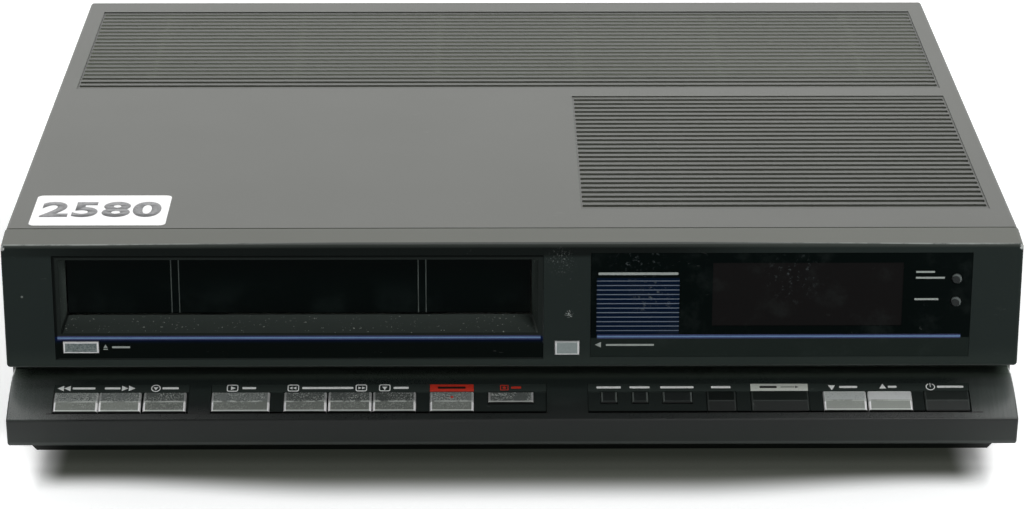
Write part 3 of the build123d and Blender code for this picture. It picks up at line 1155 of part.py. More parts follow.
BIG_CAN = (10.0, 36.0)
HEAT_SINK = (3.0, 40.0)                           # thickness and height of its plate
FIN = (1.6, 8.0, 40.0)
REGULATOR = (9.0, 12.0, 14.0)
with BuildPart() as power_board:
    board(POWER_BOARD)
    with Locations(*parts_on(POWER_BOARD, (0.19, 0.24), (1, 0.30), (1, 2), BIG_CAN[1])):
        Cylinder(*BIG_CAN)
    with Locations(*parts_on(POWER_BOARD, (0.67, 0.85), (1, 1), (1, 1), HEAT_SINK[1])):
        Box(0.5 * (POWER_BOARD[1] - POWER_BOARD[0]), *HEAT_SINK)
    with Locations(*parts_on(POWER_BOARD, (0.67, 0.80), (0.06, 1), (8, 1), FIN[2])):
        Box(*FIN)
    with Locations(*parts_on(POWER_BOARD, (0.66, 0.32), (0.17, 0.21), (3, 2), REGULATOR[2])):
        Box(*REGULATOR)
save(power_board, "power_board")

CORE = (*display_side(137.0, 189.0), BODY_DEPTH - 83.4, BODY_DEPTH - 35.4)
CORE_TOP = 56.0
COIL_PROUD = 12.0        # the winding stands out of the core's front and rear
COIL_INSET = 10.0
FOOT_PLATE = 3.0
with BuildPart() as transformer:
    left, right, front, rear = CORE
    stack = (back(front + COIL_PROUD), back(rear - COIL_PROUD))
    block((left, right), stack, (FLOOR + FOOT_PLATE, CORE_TOP))
    with BuildSketch(Plane.XY.offset(FLOOR + 3 * FOOT_PLATE)):
        with Locations(((left + right) / 2, back((front + rear) / 2))):
            RectangleRounded(right - left - 2 * COIL_INSET, rear - front, 2 * POST_R)
    extrude(amount=CORE_TOP - FLOOR - 5 * FOOT_PLATE)
    block((left - POST_R, right + POST_R), stack, (FLOOR, FLOOR + FOOT_PLATE))
save(transformer, "transformer")

TUNER = (*cassette_side(-188.0, -114.0), DECK_REAR + 14.0)
TUNER_TOP = 56.0
TRIM_HOLE_R = 3.0        # holes over the trimmers
with BuildPart() as tuner_box:
    block(TUNER[:2], (back(TUNER[2]), PANEL_BACK - PANEL_SHEET), (FLOOR, TUNER_TOP))
    fillet(tuner_box.edges().filter_by(Axis.Z), RIB)
    with Locations((sum(TUNER[:2]) / 2, (back(TUNER[2]) + PANEL_BACK) / 2, TUNER_TOP)):
        with GridLocations(16.0, 3 * TRIM_HOLE_R, 4, 2):
            Cylinder(TRIM_HOLE_R, RIB, mode=Mode.SUBTRACT)
save(tuner_box, "tuner_box")

# ------------------------------------------------------------------ sockets
SOCKET_WALL = 0.7
PIN_R = 1.2


def turned(x, z, outline):
    """Turned piece about an axis along Y: points (radius, distance from the rear panel's face)."""
    with BuildSketch(Plane(origin=(x, PANEL_BACK, z), x_dir=(1, 0, 0), z_dir=(0, 0, 1))) as profile:
        with BuildLine():
            Polyline(*outline, close=True)
        make_face()
    revolve(profile.sketch, axis=Axis((x, PANEL_BACK, z), (0, 1, 0)))


with BuildPart() as aerial_sockets:
    (in_x, in_z), (out_x, out_z) = AERIAL_PLACES
    shell = AERIAL_R + 2 * SOCKET_WALL
    turned(in_x, in_z, [(0, -PANEL_SHEET), (AERIAL_FLANGE_R, -PANEL_SHEET), (AERIAL_FLANGE_R, RIB),
                        (shell, RIB), (shell, AERIAL_LENGTH), (AERIAL_R, AERIAL_LENGTH), (AERIAL_R, 0),
                        (2 * PIN_R, 0), (2 * PIN_R, AERIAL_LENGTH - RIB), (PIN_R, AERIAL_LENGTH - RIB),
                        (PIN_R, 0), (0, 0)])
    inside = AERIAL_R - SOCKET_WALL
    turned(out_x, out_z, [(0, -PANEL_SHEET), (AERIAL_FLANGE_R, -PANEL_SHEET), (AERIAL_FLANGE_R, 0),
                          (AERIAL_R, 0), (AERIAL_R, AERIAL_LENGTH), (inside, AERIAL_LENGTH), (inside, RIB),
                          (PIN_R, RIB), (PIN_R, AERIAL_LENGTH), (0, AERIAL_LENGTH)])
save(aerial_sockets, "aerial_sockets")

SOCKET_PROUD = 6.0
SOCKET_BODY = 12.0
EAR = 5.0
TONGUE = 6.0             # height of the contact block
with BuildPart() as av_socket:
    left, right, low, high = AV_SOCKET
    with BuildSketch(upright(PANEL_BACK)):
        window(AV_SOCKET, -SLIP)
    extrude(amount=SOCKET_BODY)
    block((left - EAR, right + EAR), (PANEL_BACK, PANEL_BACK + RIB), (low, high))
    with BuildSketch(upright(PANEL_BACK + RIB)):
        window(AV_SOCKET, -SLIP)
    extrude(amount=-SOCKET_PROUD + RIB)
    chamfer(av_socket.edges().filter_by(Axis.Y).group_by(Axis.X)[1].sort_by(Axis.Z)[0], EAR / 2)
    with BuildSketch(upright(PANEL_BACK + SOCKET_PROUD)):
        with Locations(((left + right) / 2, (low + high) / 2)):
            Rectangle(right - left - 4 * SOCKET_WALL, high - low - 4 * SOCKET_WALL)
            Rectangle(right - left - 4 * SOCKET_WALL - 2 * RIB, TONGUE, mode=Mode.SUBTRACT)
    extrude(amount=SOCKET_PROUD + SOCKET_BODY / 3, mode=Mode.SUBTRACT)
    with Locations(((left + right) / 2, PANEL_BACK + SOCKET_PROUD, (low + high) / 2)):
        with GridLocations(3.8, 1, 10, 1):
            for side in (-1, 1):
                with Locations((0, 0, side * TONGUE / 4)):
                    Box(1.9, SOCKET_PROUD, 0.9, mode=Mode.SUBTRACT)
save(av_socket, "av_socket")

INLET_DEPTH = 12.0
INLET_PINS = 8.6
with BuildPart() as mains_inlet:
    left, right, low, high = MAINS_INLET
    middle = ((left + right) / 2, (low + high) / 2)
    with BuildSketch(upright(PANEL_BACK)):
        window(MAINS_INLET, -SLIP)
    extrude(amount=INLET_DEPTH + 2 * RIB)
    block((left - RIB, right + RIB), (PANEL_BACK, PANEL_BACK + RIB), (low - RIB, high + RIB))
    with BuildSketch(upright(PANEL_BACK + RIB)):
        with Locations(middle):
            SlotCenterToCenter(INLET_PINS, INLET_PINS)
    extrude(amount=INLET_DEPTH + RIB, mode=Mode.SUBTRACT)
    for side in (-1, 1):
        rod_y(middle[0] + side * INLET_PINS / 2, (PANEL_BACK - INLET_DEPTH, PANEL_BACK - RIB), middle[1],
              PIN_R)
save(mains_inlet, "mains_inlet")
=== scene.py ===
"""Looks of a front-loading video cassette recorder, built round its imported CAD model.

Metres, +Z up, front towards -Y.  The CAD nodes keep their shapes and get materials.  Prints, inlays and the
sticker are modelled here.
"""
from math import cos, pi, radians, sin, sqrt

import bpy
from mathutils import Matrix, Vector


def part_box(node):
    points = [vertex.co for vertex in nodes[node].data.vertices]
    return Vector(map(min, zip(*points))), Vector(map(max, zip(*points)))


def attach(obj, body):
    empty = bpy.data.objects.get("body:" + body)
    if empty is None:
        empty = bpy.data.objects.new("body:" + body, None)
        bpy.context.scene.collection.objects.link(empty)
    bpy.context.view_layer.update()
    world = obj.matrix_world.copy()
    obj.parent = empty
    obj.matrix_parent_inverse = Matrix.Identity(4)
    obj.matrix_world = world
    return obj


MM = 0.001

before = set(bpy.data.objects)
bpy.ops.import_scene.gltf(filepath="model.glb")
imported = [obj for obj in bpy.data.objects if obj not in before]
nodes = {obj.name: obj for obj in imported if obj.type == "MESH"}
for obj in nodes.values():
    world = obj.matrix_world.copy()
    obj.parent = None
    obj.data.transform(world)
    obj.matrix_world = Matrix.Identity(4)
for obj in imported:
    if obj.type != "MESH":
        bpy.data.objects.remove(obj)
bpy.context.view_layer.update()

# ---------------------------------------------------------------- places that the finishes follow
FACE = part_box("front_bezel")[0].y
BEZEL_LOW, BEZEL_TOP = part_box("front_bezel")[0].z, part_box("front_bezel")[1].z
HALF_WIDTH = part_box("front_bezel")[1].x
COVER_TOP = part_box("top_cover")[1].z
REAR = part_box("top_cover")[1].y
VENT_SINK = 0.4 * MM                # the bars between the slots lie this far below the cover's top
VENT_SPLIT = FACE + 228.0 * MM      # behind this lies the field of slots along the rear
BLUE_LINE = 54.6 * MM
MOUTH_LOW = 57.0 * MM               # lower edge of the cassette's mouth, at the face
STRIP_LOW = 46.0 * MM               # lower edge of the polished strip under the blue line
KEY_SLOPE = radians(24.6)
KEY_ROW = Vector((0, FACE - 5.65 * MM, 28.45 * MM))     # middle of the keys, on the plane of their legends
KEY_FOOT = 0.5 * MM                 # shaded lower end of a key
LIP_TOP, FOLD_TOP = 23.8 * MM, 24.4 * MM                # the ledge folds over its front lip between these
LIP_LOW = 14.0 * MM                 # lower edge of the lip

# rectangles on the front, in millimetres: left, right, low, high
SENSOR = (34.8, 69.0, 56.6, 81.4)   # blue ground behind the sensor's lines
DISPLAY = (82.7, 161.5, 60.0, 88.0)
EJECT = (-186.6, -171.9, 48.5, 53.5)
TRACKING = (17.6, 27.7, 47.4, 53.4)

# other places on the front, in millimetres
SENSOR_LEVELS = (57.7, 79.8)        # lowest and highest line of the sensor
DOOR_LINES = (-142.0, -138.8, -39.2, -36.0)
MOUTH_MIDDLE = -55.0                # middle of the dark stretch above the mouth
MOUTH_WALL = (-186.4, -188.4)       # where the shade on the mouth's left wall starts and is full
TROUGHS = ((-193.6, 15.2), (34.2, 195.6))               # the ledge below the left and the right keys
# corner lines of the mouth's bevel, one shaded and one lit: foot, slope, half width and colour
MITRES = ((-187.3, 2.6, 0.9, (4, 7, 6)),
          (10.5, -1.75, 0.6, (120, 126, 122)))
# small damage on the bezel and finger marks on the display panel: across, height and reach
SCUFF = (20.0, 89.0, 8.0)
CHIP = (23.4, 65.5, 2.6)
NICK = (-202.7, 73.5, 0.9)
FINGER_MARKS = ((58.0, 72.0, 12.0), (52.0, 88.0, 14.0))
FAINT_MARK = (116.0, 82.0, 16.0)

# ---------------------------------------------------------------- main colours, from 0 to 255
COVER = (76, 78, 72)
MOULDING = (33, 41, 39)
SURROUND = (31, 36, 34)
LEDGE = (14, 20, 18)
BLACK = (1, 8, 7)


def middle_of_node(name):
    low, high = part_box(name)
    return (low + high) / 2


# ---------------------------------------------------------------- shader maths
class Value:
    """A socket in a material; arithmetic on it adds Math nodes."""

    def __init__(self, finish, socket):
        self.finish = finish
        self.socket = socket

    def math(self, operation, *values):
        return self.finish.node("Math", {"operation": operation}, dict(enumerate(values)))

    def __add__(self, other):
        return self.math("ADD", self, other)

    def __sub__(self, other):
        return self.math("SUBTRACT", self, other)

    def __rsub__(self, other):
        return self.math("SUBTRACT", other, self)

    def __mul__(self, other):
        return self.math("MULTIPLY", self, other)

    def __mod__(self, other):
        return self.math("FLOORED_MODULO", self, other)

    def __abs__(self):
        return self.math("ABSOLUTE", self)

    def most(self, other):
        """The larger of two values."""
        return self.math("MAXIMUM", self, other)

    __radd__ = __add__
    __rmul__ = __mul__


class Finish:
    """A material under construction, with the coordinates and patterns that the finishes share."""

    def __init__(self, name):
        self.material = bpy.data.materials.new(name)
        self.material.use_nodes = True
        self.tree = self.material.node_tree
        self.shader = self.tree.nodes["Principled BSDF"]
        self.at = self.node("TexCoord", {}, {}, "Object")
        self.x, self.y, self.z = (self.node("SeparateXYZ", {}, {0: self.at}, axis) for axis in "XYZ")

    def node(self, kind, settings, inputs, output=0):
        """Adds a node: its settings first, then the values or links of its sockets."""
        made = self.tree.nodes.new("ShaderNode" + kind)
        for key, value in settings.items():
            setattr(made, key, value)
        for key, value in inputs.items():
            self.put(made.inputs[key], value)
        return Value(self, made.outputs[output])

    def put(self, socket, value):
        """Links a value to a socket, or sets it."""
        if isinstance(value, Value):
            self.tree.links.new(value.socket, socket)
        else:
            socket.default_value = value

    def stretched(self, x, y, z, turn=0.0):
        """Object coordinates, scaled along each axis and then turned about Y."""
        return self.node("Mapping", {}, {"Vector": self.at, "Rotation": (0.0, turn, 0.0), "Scale": (x, y, z)})

    def noise(self, scale, detail=2.0, roughness=0.5, at=None, distortion=0.0):
        """Even noise from 0 to 1; scale counts features in a metre."""
        return self.node("TexNoise", {}, {"Vector": at or self.at, "Scale": scale, "Detail": detail,
                                          "Roughness": roughness, "Distortion": distortion})

    def cells(self, scale, at):
        """Distance from the middle of the nearest of scattered cells."""
        return self.node("TexVoronoi", {}, {"Vector": at, "Scale": scale})

    def distance(self, place, axes=(1, 1, 1)):
        """Distance from a place, along the axes that are marked 1; the place is 0 along the others."""
        at = self.node("VectorMath", {"operation": "MULTIPLY"}, {0: self.at, 1: axes})
        return self.node("VectorMath", {"operation": "DISTANCE"}, {0: at, 1: place}, "Value")

    def rise(self, value, start, end):
        """0 up to start, 1 from end on, smooth between them; start may be the higher one."""
        return self.node("MapRange", {"interpolation_type": "SMOOTHSTEP"},
                         {"Value": value, "From Min": start, "From Max": end})

    def between(self, value, low, high, soft=0.05 * MM):
        """1 between two places, else 0, with soft ends."""
        return self.rise(value, low - soft, low + soft) * self.rise(value, high + soft, high - soft)

    def inside(self, left, right, low, high):
        """1 inside a rectangle on the front, in millimetres."""
        return self.between(self.x, left * MM, right * MM) * self.between(self.z, low * MM, high * MM)

    def near(self, x, y, z, reach):
        """1 at a place, falling to 0 at this distance from it."""
        return self.rise(self.distance((x, y, z)), reach, 0.0)

    def on_front(self, across, height, reach):
        """1 at a place on the front, falling to 0 at this distance from it, in millimetres."""
        return self.near(across * MM, FACE, height * MM, reach * MM)

    def up_keys(self):
        """Distance up the slope of the keys from the middle of their row."""
        return (self.y - KEY_ROW.y) * cos(KEY_SLOPE) + (self.z - KEY_ROW.z) * sin(KEY_SLOPE)

    def blend(self, factor, first, second):
        """Colour between two colours."""
        return self.node("Mix", {"data_type": "RGBA"}, {0: factor, 6: first, 7: second}, 2)

    def bump(self, height, distance, strength):
        """Normal of a relief whose full height is this distance."""
        return self.node("Bump", {}, {"Height": height, "Distance": distance, "Strength": strength})

    def done(self, **sockets):
        """Fills the shader's sockets, such as Base_Color, and gives back the material."""
        for key, value in sockets.items():
            self.put(self.shader.inputs[key.replace("_", " ")], value)
        return self.material


def tone(red, green, blue):
    """Linear colour from its usual values, held between 0 and 255."""
    def linear(part):
        part = min(max(part, 0), 255) / 255
        return part / 12.92 if part <= 0.04045 else ((part + 0.055) / 1.055) ** 2.4
    return (linear(red), linear(green), linear(blue), 1.0)


def shifted(colour, step):
    """Linear colour, with each of its usual values moved by a step."""
    return tone(*[part + step for part in colour])


WHITE = (1, 1, 1, 1)


# ---------------------------------------------------------------- marks that several finishes have
def dust(finish, amount):
    """Scattered specks and faint smears, 0 to 1."""
    specks = finish.rise(finish.noise(1300.0, 1.0), 0.86 - 0.05 * amount, 0.93 - 0.05 * amount)
    patches = finish.rise(finish.noise(38.0, 4.0, 0.62), 0.50, 0.66)
    hairs = finish.rise(finish.noise(300.0, 3.0, 0.7, finish.stretched(0.35, 1.0, 1.0), 1.5), 0.66, 0.74)
    return specks * (0.35 + patches * 0.65) + hairs * patches * 0.5


def rim(finish, value, start, end, width):
    """0 in the middle of a face, rising to 1 within this width of its two ends."""
    gap = abs(value - (start + end) / 2) - (end - start) / 2
    return finish.rise(gap, -width, -0.6 * width)


def key_end(key):
    """Where the lit part of a key ends, up the slope."""
    return (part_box(key)[0].y - KEY_ROW.y) / cos(KEY_SLOPE) + KEY_FOOT


# ---------------------------------------------------------------- marks of single pieces
def bezel_marks(f, base):
    """Painted light and shade on the bezel's face and edges, worn corners, a scuff and small chips."""
    middle = f.rise(abs(f.x), 190 * MM, 60 * MM)
    # painted light: the lower part of the face is lighter
    base = f.blend(f.rise(f.z, 52.0 * MM, 43.0 * MM) * 0.6, base, tone(50, 58, 54))
    # painted shade: a dark band along the top of the face, above the mouth
    over_mouth = f.rise(abs(f.x - MOUTH_MIDDLE * MM), 180 * MM, 110 * MM)
    base = f.blend(f.rise(f.z, 90.0 * MM, 92.0 * MM) * over_mouth * 0.85, base, tone(4, 9, 7))
    # painted sheen on the rounded top edge, weaker in the middle
    rounded = f.rise(f.z, BEZEL_TOP - 1.6 * MM, BEZEL_TOP - 0.4 * MM)
    base = f.blend(rounded * (0.9 - middle * 0.35), base, tone(64, 69, 65))

    # painted light: the top face takes a lighter cover colour, set back in the middle; then a patchy painted
    # highlight on the edge
    setback = f.y - middle * 2.0 * MM
    upper = f.rise(f.z, BEZEL_TOP - MM, BEZEL_TOP - 0.6 * MM)
    painted = upper * f.rise(setback, FACE + 1.1 * MM, FACE + 1.9 * MM)
    base = f.blend(painted, base, shifted(COVER, 26))
    edge = upper * f.rise(setback, FACE + 1.9 * MM, FACE + 1.5 * MM)
    edge = edge * f.rise(setback, FACE + 0.5 * MM, FACE + 0.8 * MM)
    patchy = f.rise(f.noise(160.0, 3.0, 0.7), 0.2, 0.6)
    base = f.blend(edge * (1.0 - middle) * patchy * 0.4, base, tone(196, 202, 198))
    # painted light along the lower edge
    base = f.blend(f.rise(f.z, BEZEL_LOW + MM, BEZEL_LOW + 0.7 * MM) * 0.6, base, tone(84, 88, 86))

    # worn upper corners, a scuff on the post between the two windows, and two small chips
    spots = f.rise(f.noise(900.0, 4.0, 0.75), 0.40, 0.52)
    for side in (-1, 1):
        corner = f.near(side * (HALF_WIDTH - 1.4 * MM), FACE + 0.3 * MM, BEZEL_TOP - 1.2 * MM, 1.9 * MM)
        base = f.blend(f.rise(corner, 0.2, 0.6) * spots * 0.7, base, tone(236, 240, 238))
    scuff = f.on_front(*SCUFF) * f.rise(f.noise(1100.0, 5.0, 0.8), 0.56, 0.66)
    chip = f.rise(f.on_front(*CHIP), 0.1, 0.5) * f.rise(f.noise(1700.0, 3.0), 0.52, 0.6) * 0.6
    nick = f.rise(f.on_front(*NICK), 0.3, 0.6) * 0.3
    return f.blend(scuff * 0.4 + (chip + nick), base, tone(206, 212, 208))


def surround_marks(f, base):
    """Painted light and dust on the mouth's bevel, and the polished black strip below the blue line."""
    bevel = f.rise(f.y, FACE + 0.1 * MM, FACE + 0.5 * MM) * f.rise(f.z, BLUE_LINE, BLUE_LINE + MM)
    # painted light on the bevel, growing deeper in, where it would lie in shade
    depth = f.rise(f.y, FACE, FACE + 11 * MM)
    bevel_light = 0.4 + depth * 0.6 + f.noise(160.0, 4.0, 0.65) * 0.1
    base = f.blend(bevel * bevel_light, base, tone(76, 84, 80))
    grains = f.rise(f.noise(900.0, 2.0, 0.6), 0.66, 0.74)
    base = f.blend(bevel * grains * 0.6, base, tone(200, 204, 196))

    # shaded outline along the left and the top of the face
    low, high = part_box("cassette_surround")
    left_side = f.rise(f.x, low.x + 1.5 * MM, low.x + 0.7 * MM)
    top_side = f.rise(f.z, high.z - 0.9 * MM, high.z - 0.5 * MM)
    outline = left_side.most(top_side) * f.rise(f.y, FACE + 0.5 * MM, FACE + 0.3 * MM)
    base = f.blend(outline * 0.9, base, tone(3, 6, 5))

    # painted shade and light on the corner lines, and painted shade on the mouth's left wall
    for foot, slope, width, line in MITRES:
        gap = abs((f.z - MOUTH_LOW) - (f.x - foot * MM) * slope) * (1 / sqrt(1 + slope * slope))
        base = f.blend(f.rise(gap, width * MM, 0.4 * width * MM) * bevel * 0.75, base, tone(*line))
    wall = f.rise(f.x, MOUTH_WALL[0] * MM, MOUTH_WALL[1] * MM)
    base = f.blend(wall * bevel * 0.5, base, tone(24, 30, 27))

    # polished strip, with a blue glow just below the line
    strip_face = f.rise(f.z, BLUE_LINE + 1.1 * MM, BLUE_LINE + 0.9 * MM)
    strip_face = strip_face * f.rise(f.z, STRIP_LOW - 0.1 * MM, STRIP_LOW + 0.1 * MM)
    glow = f.rise(f.z, BLUE_LINE - 3.0 * MM, BLUE_LINE + MM)
    return f.blend(strip_face, base, f.blend(glow * glow, tone(1, 7, 5), tone(4, 22, 66)))


def door_marks(f, base):
    """Painted highlights along two pairs of moulded ridges, and a haze that fingers leave."""
    # painted highlight along each moulded ridge, broken in patches
    for x in DOOR_LINES:
        line = f.rise(abs(f.x - x * MM), 0.26 * MM, 0.12 * MM)
        base = f.blend(line * (0.4 + f.noise(90.0) * 0.5), base, tone(128, 138, 134))
    haze = f.rise(f.noise(30.0, 4.0, 0.6), 0.48, 0.68) * f.rise(f.z, 80 * MM, 64 * MM)
    return f.blend(haze * 0.22, base, tone(40, 50, 48))


def panel_marks(f, base):
    """Deep blue behind the sensor's window, brown behind the display's, a paler foot, and finger marks."""
    base = f.blend(f.inside(*SENSOR), base, tone(4, 20, 42))
    base = f.blend(f.inside(*DISPLAY), base, tone(22, 21, 21))
    base = f.blend(f.rise(f.z, BLUE_LINE + 0.3 * MM, BLUE_LINE) * 0.9, base, tone(34, 42, 39))
    haze = f.rise(f.noise(60.0, 4.0, 0.65), 0.5, 0.72)
    base = f.blend(haze * 0.14, base, tone(64, 72, 70))
    swirls = f.rise(f.noise(380.0, 5.0, 0.75), 0.56, 0.64)
    touched = f.on_front(*FAINT_MARK) * 0.5
    for mark in FINGER_MARKS:
        touched = touched + f.on_front(*mark)
    return f.blend(touched * swirls * 0.42, base, tone(132, 142, 144))


def round_highlights(f, base):
    """Painted highlight: a pale crescent on the upper right of each round button."""
    lean = 0.45 * MM
    for name in ("clock_counter_button", "dimmer_button"):
        middle = middle_of_node(name)
        gap = f.distance((middle.x - lean, 0, middle.z - lean), (1, 0, 1))
        on_button = f.rise(abs(f.z - middle.z), 3.0 * MM, 2.6 * MM)
        base = f.blend(f.rise(gap, 1.7 * MM, 2.1 * MM) * on_button * 0.7, base, tone(120, 128, 126))
    return base


def plate_marks(f, base):
    """Paler printed strip, and painted shade below the keys."""
    up = f.up_keys()
    base = f.blend(f.rise(up, 5.2 * MM, 5.6 * MM) * 0.7, base, tone(52, 60, 57))
    # painted shade below the lower ends of the keys
    return f.blend(f.rise(up, -4.9 * MM, -5.2 * MM), base, tone(3, 5, 4))


def ledge_marks(f, base):
    """Painted light and shade on the ledge, and a dark fold above the paler lip."""
    up = f.up_keys()
    # painted light: lighter up the slope, where the bezel shades it, and darker towards the front
    base = f.blend(f.rise(up, -6 * MM, 8 * MM), base, tone(38, 45, 43))
    # painted light near both ends, in streaks
    ends = f.rise(abs(f.x), 176 * MM, 208 * MM)
    sheen_streaks = f.noise(900.0, 2.0, 0.6, f.stretched(1.0, 0.05, 0.05))
    base = f.blend(ends * (0.4 + sheen_streaks * 0.5), base, tone(96, 102, 99))
    lip = f.rise(f.z, LIP_TOP + 0.4 * MM, LIP_TOP)
    lip_colour = f.blend(f.rise(f.z, 24 * MM, LIP_LOW), tone(15, 21, 19), tone(30, 36, 33))
    base = f.blend(lip, base, lip_colour)
    base = f.blend(f.rise(f.z, LIP_LOW + 0.2 * MM, LIP_LOW - 0.4 * MM) * 0.35, base, tone(96, 102, 99))
    fold = f.between(f.z, LIP_TOP, FOLD_TOP, 0.15 * MM)
    base = f.blend(fold * 0.5, base, tone(8, 10, 9))
    # painted shade in the troughs below the keys
    trough_shade = f.between(up, -7.1 * MM, -6.2 * MM, 0.1 * MM)
    for left, right in TROUGHS:
        below_keys = f.between(f.x, left * MM, right * MM)
        base = f.blend(trough_shade * below_keys * 0.9, base, tone(3, 5, 4))
    # painted light in the gap under the bezel
    gap = f.rise(f.y, FACE + 6 * MM, FACE + 9 * MM)
    return f.blend(gap, base, tone(74, 84, 76))


# ---------------------------------------------------------------- finishes
def painted_cover(name, colour):
    """Satin paint on sheet steel: fine orange-peel grain, faint handling marks, painted light and dust on the
    slot walls.
    """
    f = Finish(name)
    grain = f.noise(2600.0, 2.0, 0.6)
    clouds = f.noise(16.0, 3.0, 0.55)
    base = f.blend(clouds, shifted(colour, -3), shifted(colour, 3))
    base = f.blend(grain * 0.28, base, shifted(colour, 26))
    sunk = f.rise(f.z, COVER_TOP - 0.2 * MM, COVER_TOP - 0.3 * MM)
    sunk = sunk * f.rise(f.z, COVER_TOP - 4 * MM, COVER_TOP - 3 * MM)
    in_slot = f.rise(f.z, COVER_TOP - VENT_SINK - 0.1 * MM, COVER_TOP - VENT_SINK - 0.3 * MM)
    rear = f.rise(f.y, VENT_SPLIT - MM, VENT_SPLIT + MM)
    # the sunk field of slots is darker, more so at the rear
    base = f.blend(sunk * (0.4 + rear * 0.4), base, tone(34, 38, 30))
    # painted light and dust on the slot walls, more so at the rear
    base = f.blend(sunk * in_slot * (0.16 + rear * 0.44), base, tone(196, 202, 186))
    base = f.blend(dust(f, 0.25) * 0.3, base, tone(186, 186, 180))
    # painted shade: darker towards the front right
    front_right_shade = f.rise(f.x, 0.0, 140 * MM) * f.rise(f.y, 40 * MM, -120 * MM)
    base = f.blend(front_right_shade * 0.2, base, tone(44, 47, 42))
    return f.done(Base_Color=base, Roughness=0.44 + clouds * 0.07 + grain * 0.05,
                  Normal=f.bump(grain, 0.03 * MM, 0.5))


def moulded(name, colour, rough=0.42, marks=0.35, shine=0.5, extra=None, lip_rough=0.0):
    """Fine-grained moulding, with small scuffs that show lighter; a lip under a fold may be rougher."""
    f = Finish(name)
    grain = f.noise(3200.0, 2.0, 0.6)
    clouds = f.noise(22.0, 4.0, 0.6)
    base = f.blend(clouds, shifted(colour, -3), shifted(colour, 3))
    base = f.blend(grain * 0.2, base, shifted(colour, 20))
    if extra:
        base = extra(f, base)
    base = f.blend(dust(f, marks) * marks, base, tone(150, 152, 150))
    if lip_rough:
        rough = f.rise(f.z, FOLD_TOP, LIP_TOP) * lip_rough + rough
    return f.done(Base_Color=base, Roughness=rough + clouds * 0.06 + grain * 0.06,
                  Normal=f.bump(grain, 0.02 * MM, 0.5), Specular_IOR_Level=shine)


def polished_black(name, colour, marks, shine=0.5, extra=None):
    """Polished black plastic, with dust, hair scratches and a few smears."""
    f = Finish(name)
    smears = f.noise(45.0, 4.0, 0.6)
    specks = dust(f, marks)
    scratches = f.cells(120.0, f.stretched(0.08, 1.0, 1.0, radians(38)))
    scratches = f.rise(scratches, 0.045, 0.0) * f.rise(smears, 0.55, 0.65)
    base = f.blend(smears, shifted(colour, -1), shifted(colour, 1))
    if extra:
        base = extra(f, base)
    base = f.blend(specks * marks * 0.5 + scratches * 0.12, base, tone(150, 156, 154))
    return f.done(Base_Color=base, Roughness=0.12 + smears * 0.12 + specks * 0.3, Specular_IOR_Level=shine)


def metal(name, colour, rough=0.32, along=(1.0, 1.0, 0.05), coarse=900.0):
    """Bare or plated metal, drawn along one axis."""
    f = Finish(name)
    lines = f.noise(coarse, 3.0, 0.6, f.stretched(*along))
    clouds = f.noise(60.0, 3.0, 0.6)
    base = f.blend(lines, shifted(colour, -14), shifted(colour, 10))
    base = f.blend(clouds * 0.25, base, shifted(colour, -30))
    return f.done(Base_Color=base, Metallic=1.0, Roughness=rough + lines * 0.12 + clouds * 0.06,
                  Normal=f.bump(lines, 0.01 * MM, 0.6))


def turned_metal(name, colour, middle, spacing):
    """Metal turned about an upright axis: fine rings round a middle."""
    f = Finish(name)
    radius = f.distance((middle.x, middle.y, 0.0), (1, 1, 0))
    rings = abs(radius % spacing * (1 / spacing) - 0.5) * 2.0
    clouds = f.noise(120.0, 3.0, 0.6)
    base = f.blend(rings * 0.5 + clouds * 0.3, shifted(colour, -20), tone(*colour))
    return f.done(Base_Color=base, Metallic=1.0, Roughness=0.32 + clouds * 0.12,
                  Normal=f.bump(rings, 0.002 * MM, 0.3))


def key_lacquer(name, upper_tone, lower_tone, handled=1.0):
    """Metallic lacquer on a key, mottled by fingers, with painted highlights on its crease, lower edge and
    sides.
    """
    f = Finish(name)
    grain = f.noise(3600.0, 2.0, 0.7)
    mottle = f.noise(1500.0, 3.0, 0.75)
    patches = f.noise(130.0, 4.0, 0.65)
    up = f.up_keys()
    upper = f.rise(up, 0.0, 0.5 * MM)
    # each facet has its own brightness: partly the lacquer's tone, partly painted light
    base = f.blend(upper, tone(lower_tone - 2, lower_tone + 3, lower_tone - 3),
                   tone(upper_tone - 3, upper_tone + 3, upper_tone + 1))
    fingered = f.rise(patches, 0.34, 0.58) * (0.3 + upper * 0.7) * handled
    base = f.blend(f.rise(mottle, 0.5, 0.34) * fingered, base, tone(34, 44, 44))
    base = f.blend(f.rise(mottle, 0.5, 0.66) * fingered, base, tone(222, 228, 222))
    base = f.blend(grain * 0.16, base, tone(210, 216, 210))
    low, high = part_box(name)
    end = key_end(name)
    # painted highlights along the crease and along the lower edge
    crease = f.rise(abs(up), 0.5 * MM, 0.2 * MM) * f.rise(f.noise(260.0, 2.0), 0.36, 0.56)
    edge = f.between(up, end, end + 0.55 * MM, 0.1 * MM)
    base = f.blend((crease * 0.6).most(edge * 0.75), base, tone(226, 232, 226))
    # painted highlights on the side chamfers, stronger on the lower facet
    sides = rim(f, f.x, low.x, high.x, 1.15 * MM) * (0.35 + f.rise(up, -0.2 * MM, -0.9 * MM) * 0.65)
    base = f.blend(sides, base, WHITE)
    # painted shade on the lower end of the key
    base = f.blend(f.rise(up, end, end - 0.2 * MM), base, tone(5, 8, 7))
    return f.done(Base_Color=base, Metallic=0.4, Roughness=0.34 + patches * 0.12,
                  Normal=f.bump(grain + mottle, 0.02 * MM, 0.7))


